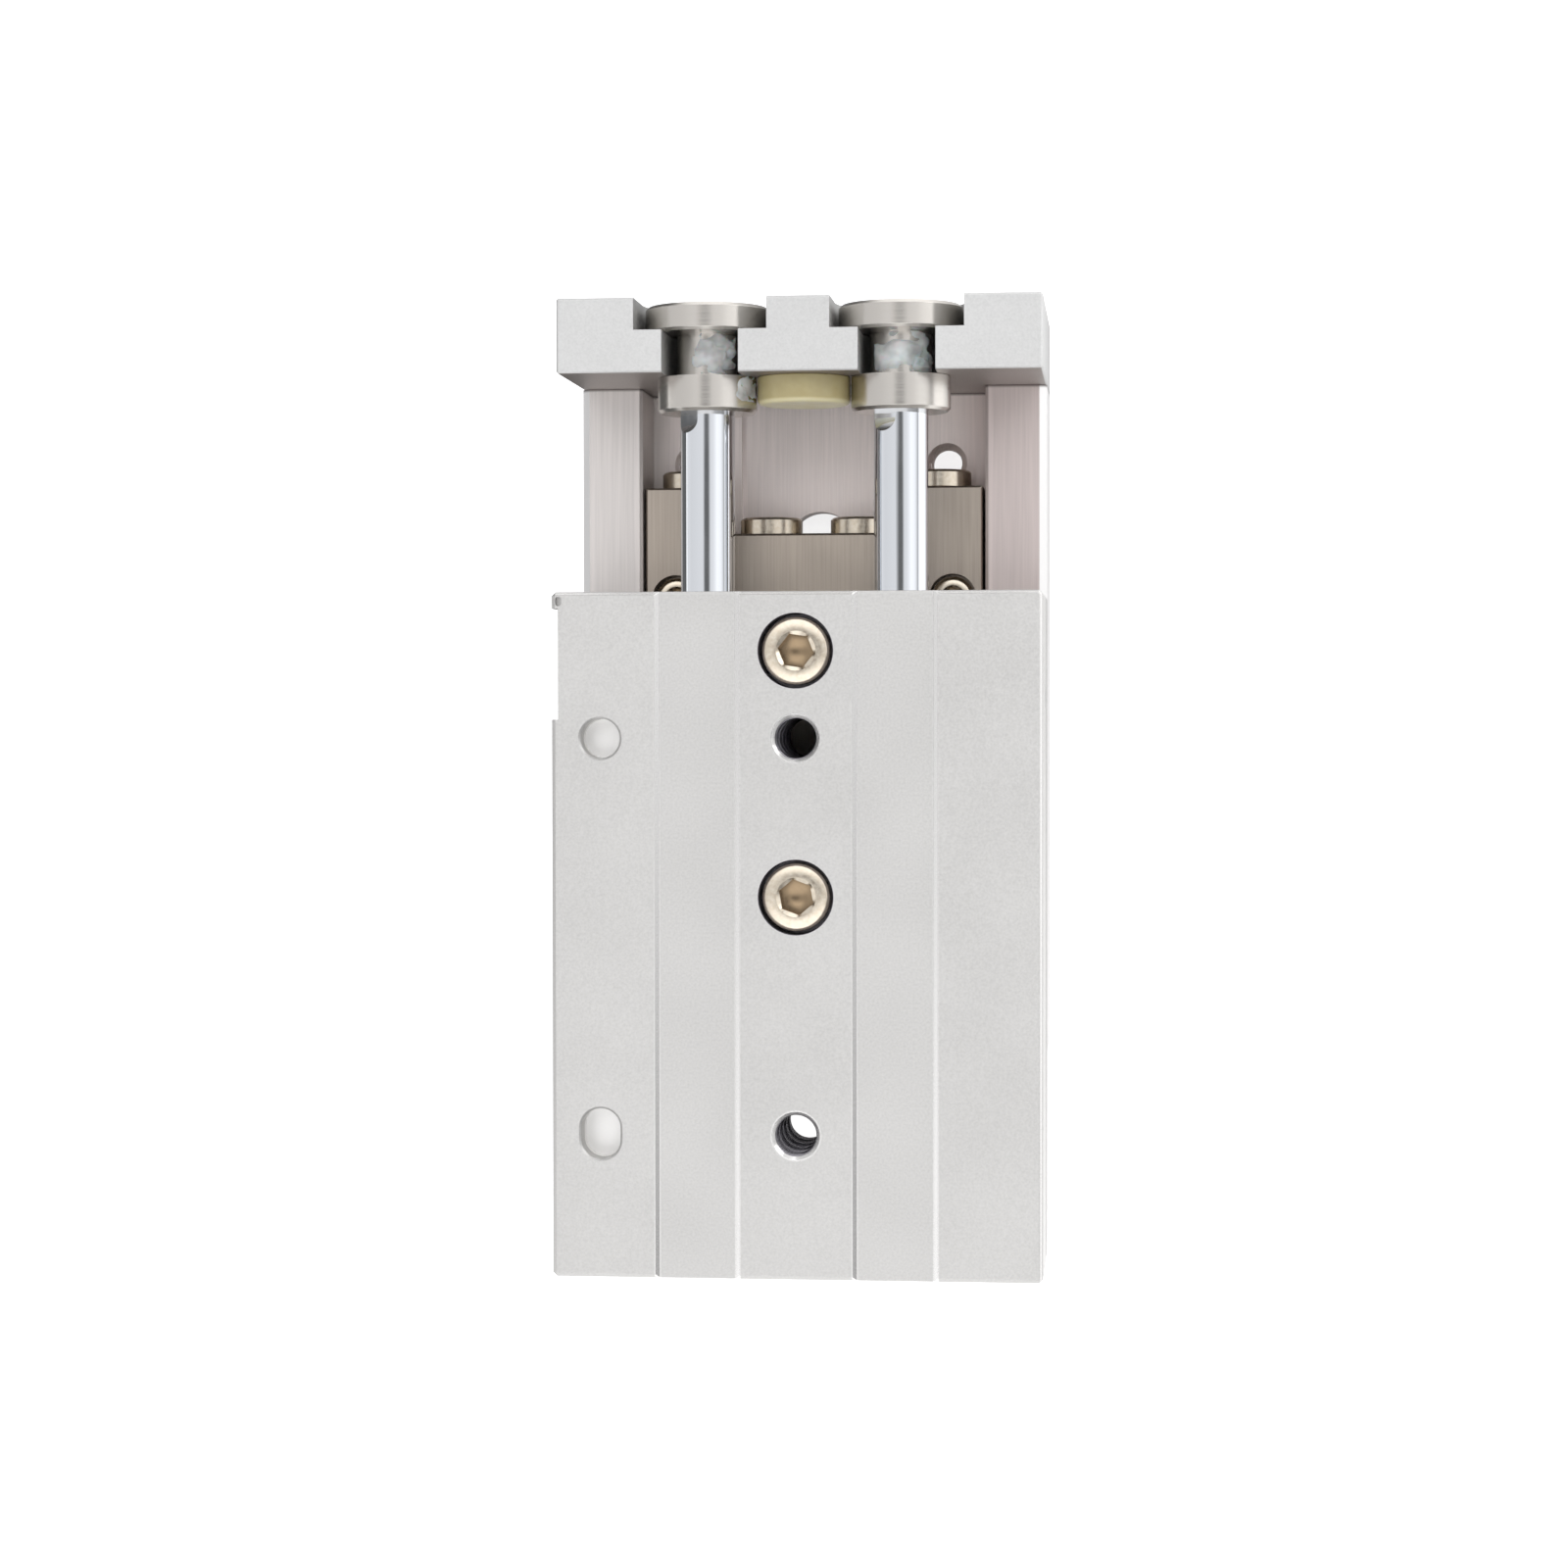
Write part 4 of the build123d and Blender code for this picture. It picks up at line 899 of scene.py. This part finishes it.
# %% [markdown]
# ## Threads
# A tapped hole shows its thread as fine dark rings. The real thread is a helix, so it is a spiral
# curve with a four-sided profile, whose crest stands a little proud of the drilled wall. Its
# inputs are the pitch, the turns and the radius, and the same setting tree puts it in each hole.

# %% A thread that is a helix
threading, given = geometry_tree("thread ridge", [
    ("Pitch", "NodeSocketFloat"), ("Turns", "NodeSocketFloat"), ("Radius", "NodeSocketFloat"),
    ("Ridge", "NodeSocketFloat"), ("Finish", "NodeSocketMaterial"),
])
rise = add(threading, "ShaderNodeMath", {0: given["Pitch"], 1: given["Turns"]}, operation="MULTIPLY")
helix = add(threading, "GeometryNodeCurveSpiral", {
    "Resolution": 40, "Rotations": given["Turns"], "Start Radius": given["Radius"],
    "End Radius": given["Radius"], "Height": rise.outputs[0],
})
profile = add(
    threading, "GeometryNodeCurvePrimitiveCircle", {"Resolution": 4, "Radius": given["Ridge"]},
    mode="RADIUS",
)
ridge = add(
    threading, "GeometryNodeCurveToMesh",
    {"Curve": helix.outputs[0], "Profile Curve": profile.outputs[0], "Fill Caps": True},
)
close_tree(threading, ridge.outputs[0], given["Finish"])


def thread_ridge(name, radius, length, pitch, material):
    """The ridge of a thread that runs down from the origin, in a drilled hole of that radius."""
    made = modified_mesh(name, bpy.data.meshes.new(name), threading, {
        "Pitch": pitch * MM, "Turns": length / pitch, "Radius": (radius + 0.05) * MM,
        "Ridge": 0.16 * MM, "Finish": material,
    })
    mesh = made.data
    mesh.transform(Matrix.Translation((0, 0, -length * MM)))
    bpy.data.objects.remove(made)
    return mesh


# %% Cut the threads
LOAD_X, LOAD_Y = (-17.2, 17.2), (18.5, -11.5, -41.5)
END_X, END_Z, PORT_Z = (-26, 26), 26, 28
LEAD_IN = 0.4
mount_top, load_top = body_high[2] - 0.6, 0.3
plate_top, rear_top = plate_high[1] - LEAD_IN, body_low[1] + LEAD_IN
# Radius, length and pitch in millimetres, places, body and finish
thread_holes = {
    "body_threads": (
        2.6, 18.4, 1.0, [((0, y, mount_top), UP) for y in MOUNT_Y], "cylinder", body_finish,
    ),
    "load_threads": (
        2.1, 4.2, 0.8, [((x, y, load_top), DOWN) for x in LOAD_X for y in LOAD_Y],
        "slide", table_finish,
    ),
    "end_threads": (
        2.1, 7.2, 0.8, [((x, plate_top, END_Z), AHEAD_WAY) for x in END_X], "slide", plate_finish,
    ),
    "port_threads": (
        2.1, 7.0, 0.8, [((x, rear_top, PORT_Z), BACK_WAY) for x in END_X], "cylinder", body_finish,
    ),
}
for name, (radius, length, pitch, places, body, material) in thread_holes.items():
    ridge_mesh = thread_ridge(name + "_ridge", radius, length, pitch, material)
    made = set_in_places(name, ridge_mesh, places, material, body)
    print(name, len(made.data.polygons), "faces")

# %% [markdown]
# ## The end bumper
# The bumper is one casting: a puck with a rolled lower edge and a stem pressed into the end plate.
# It is a stack of rings, laid with its axis along the stroke.

# %% Bumper
bumper_low, bumper_high = [[v / MM for v in corner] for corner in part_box("end_bumper")]
puck = (bumper_high[0] - bumper_low[0]) / 2
tip, face, stem = bumper_low[1], plate_low[1], bumper_high[1]
STEM_RADIUS = 3.0
ROLLED = 0.7
EASED = 0.15
DIMPLE = 0.12
rings = [
    (-stem, 0, 0), (-stem, STEM_RADIUS, 0), (-face, STEM_RADIUS, 0),
    (-face, puck - EASED, 0), (-face + EASED, puck, 0),
]
for step in range(7):
    bend = radians(15 * step)
    rings.append((-tip - ROLLED + ROLLED * sin(bend), puck - ROLLED + ROLLED * cos(bend), 0))
rings += [(-tip, puck - 2.2, 0), (-tip - DIMPLE, puck - 2.6, 0), (-tip - DIMPLE, 0, 0)]
mesh = stacked("end_bumper_dressed", rings, 96)
mesh.transform(Matrix.Translation((0, 0, BORE_Z)) @ Matrix.Rotation(radians(90), 4, "X"))
bumper = bpy.data.objects.new("end_bumper_dressed", mesh)
scene.collection.objects.link(bumper)
mesh.materials.append(urethane)
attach(bumper, "slide")
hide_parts("end_bumper")
print("bumper from y =", round(tip, 2), "to", round(stem, 2), "mm")

# %% [markdown]
# ## Grease on the bushes
# White assembly grease sits in ragged blobs on the necks of the floating bushes. Each blob is a
# patch wrapped round the neck: its thickness is a soft-edged hill broken up by noise, and its inner
# side lies just under the metal, so the shape is closed.

# %% One blob of grease
def blob(name, axis_x, radius, spin, middle, half_turn, half_length, thickness, seed, steps=44):
    """A closed patch of grease round a bore's axis. Angles are degrees right of straight up."""
    made = bmesh.new()
    outer, inner = [], []
    for i in range(steps + 1):
        u = 2 * i / steps - 1
        outer.append([])
        inner.append([])
        for j in range(steps + 1):
            v = 2 * j / steps - 1
            swirl = noise.noise(Vector((u * 2.2 + seed, v * 2.2, seed * 3.1)))
            ripple = noise.noise(Vector((u * 4 - seed, v * 4, 2.0)))
            hill = max(0.0, 0.9 - (u ** 4 + v ** 4) ** 0.5 + 1.1 * swirl)
            rise = thickness * min(1.0, hill) ** 0.6 * (0.75 + 0.5 * ripple) - 0.03
            turned_by = radians(spin + half_turn * u + 8 * swirl)
            along = middle + half_length * v + 0.3 * swirl
            for row, reach in ((outer, radius + rise), (inner, radius - 0.08)):
                x, z = axis_x + reach * sin(turned_by), reach * cos(turned_by)
                row[-1].append(made.verts.new((x * MM, along * MM, BORE_Z + z * MM)))
    for sheet, flip in ((outer, False), (inner, True)):
        for i in range(steps):
            for j in range(steps):
                loop = [sheet[i][j], sheet[i + 1][j], sheet[i + 1][j + 1], sheet[i][j + 1]]
                made.faces.new(loop[::-1] if flip else loop)
    edge = [(i, 0) for i in range(steps)] + [(steps, j) for j in range(steps)]
    edge += [(i, steps) for i in range(steps, 0, -1)] + [(0, j) for j in range(steps, 0, -1)]
    for (i, j), (k, m) in zip(edge, edge[1:] + edge[:1]):
        made.faces.new((outer[i][j], outer[k][m], inner[k][m], inner[i][j]))
    bmesh.ops.recalc_face_normals(made, faces=made.faces)
    mesh = bpy.data.meshes.new(name)
    made.to_mesh(mesh)
    made.free()
    mesh.shade_smooth()
    return mesh


# %% Grease finish
grease, tree, shader, place = finish("white lithium grease", "D3D2CE", 0.0, 0.22)
speck = grain(tree, place, 2.6)
tinted(tree, shader, speck, "B4B5B4", "F2F4F4")
shader.inputs["Subsurface Weight"].default_value = 0.3
shader.inputs["Subsurface Scale"].default_value = 0.5 * MM
shader.inputs["Transmission Weight"].default_value = 0.25
bumped(tree, shader, speck, 0.15, 0.5)
print("made", grease.name)

# %% Put the grease on
bush_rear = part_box("floating_bush_left")[0][1] / MM
NECK, COLLAR = 4.0, 6.4
collar_middle = bush_rear + 2.9
neck_middle = bush_rear + 7.35
# Side, radius, spin, middle, half turn, half length, thickness and seed
greased = {
    "grease_left": [
        (-1, NECK, 26, neck_middle, 50, 2.6, 0.34, 1.3),
        (-1, COLLAR, 62, collar_middle, 22, 1.7, 0.14, 4.7),
    ],
    "grease_right": [
        (1, NECK, 10, neck_middle, 66, 2.6, 0.26, 7.9),
        (1, NECK, 52, neck_middle - 1.4, 34, 1.4, 0.30, 2.2),
    ],
}
for name, blobs in greased.items():
    joined = bmesh.new()
    for number, (side, *rest) in enumerate(blobs):
        joined.from_mesh(blob(f"{name}_{number}", side * BORE_X / MM, *rest))
    mesh = bpy.data.meshes.new(name)
    joined.to_mesh(mesh)
    joined.free()
    mesh.materials.append(grease)
    made = bpy.data.objects.new(name, mesh)
    scene.collection.objects.link(made)
    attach(made, "slide")
    print(name, len(mesh.polygons), "faces")
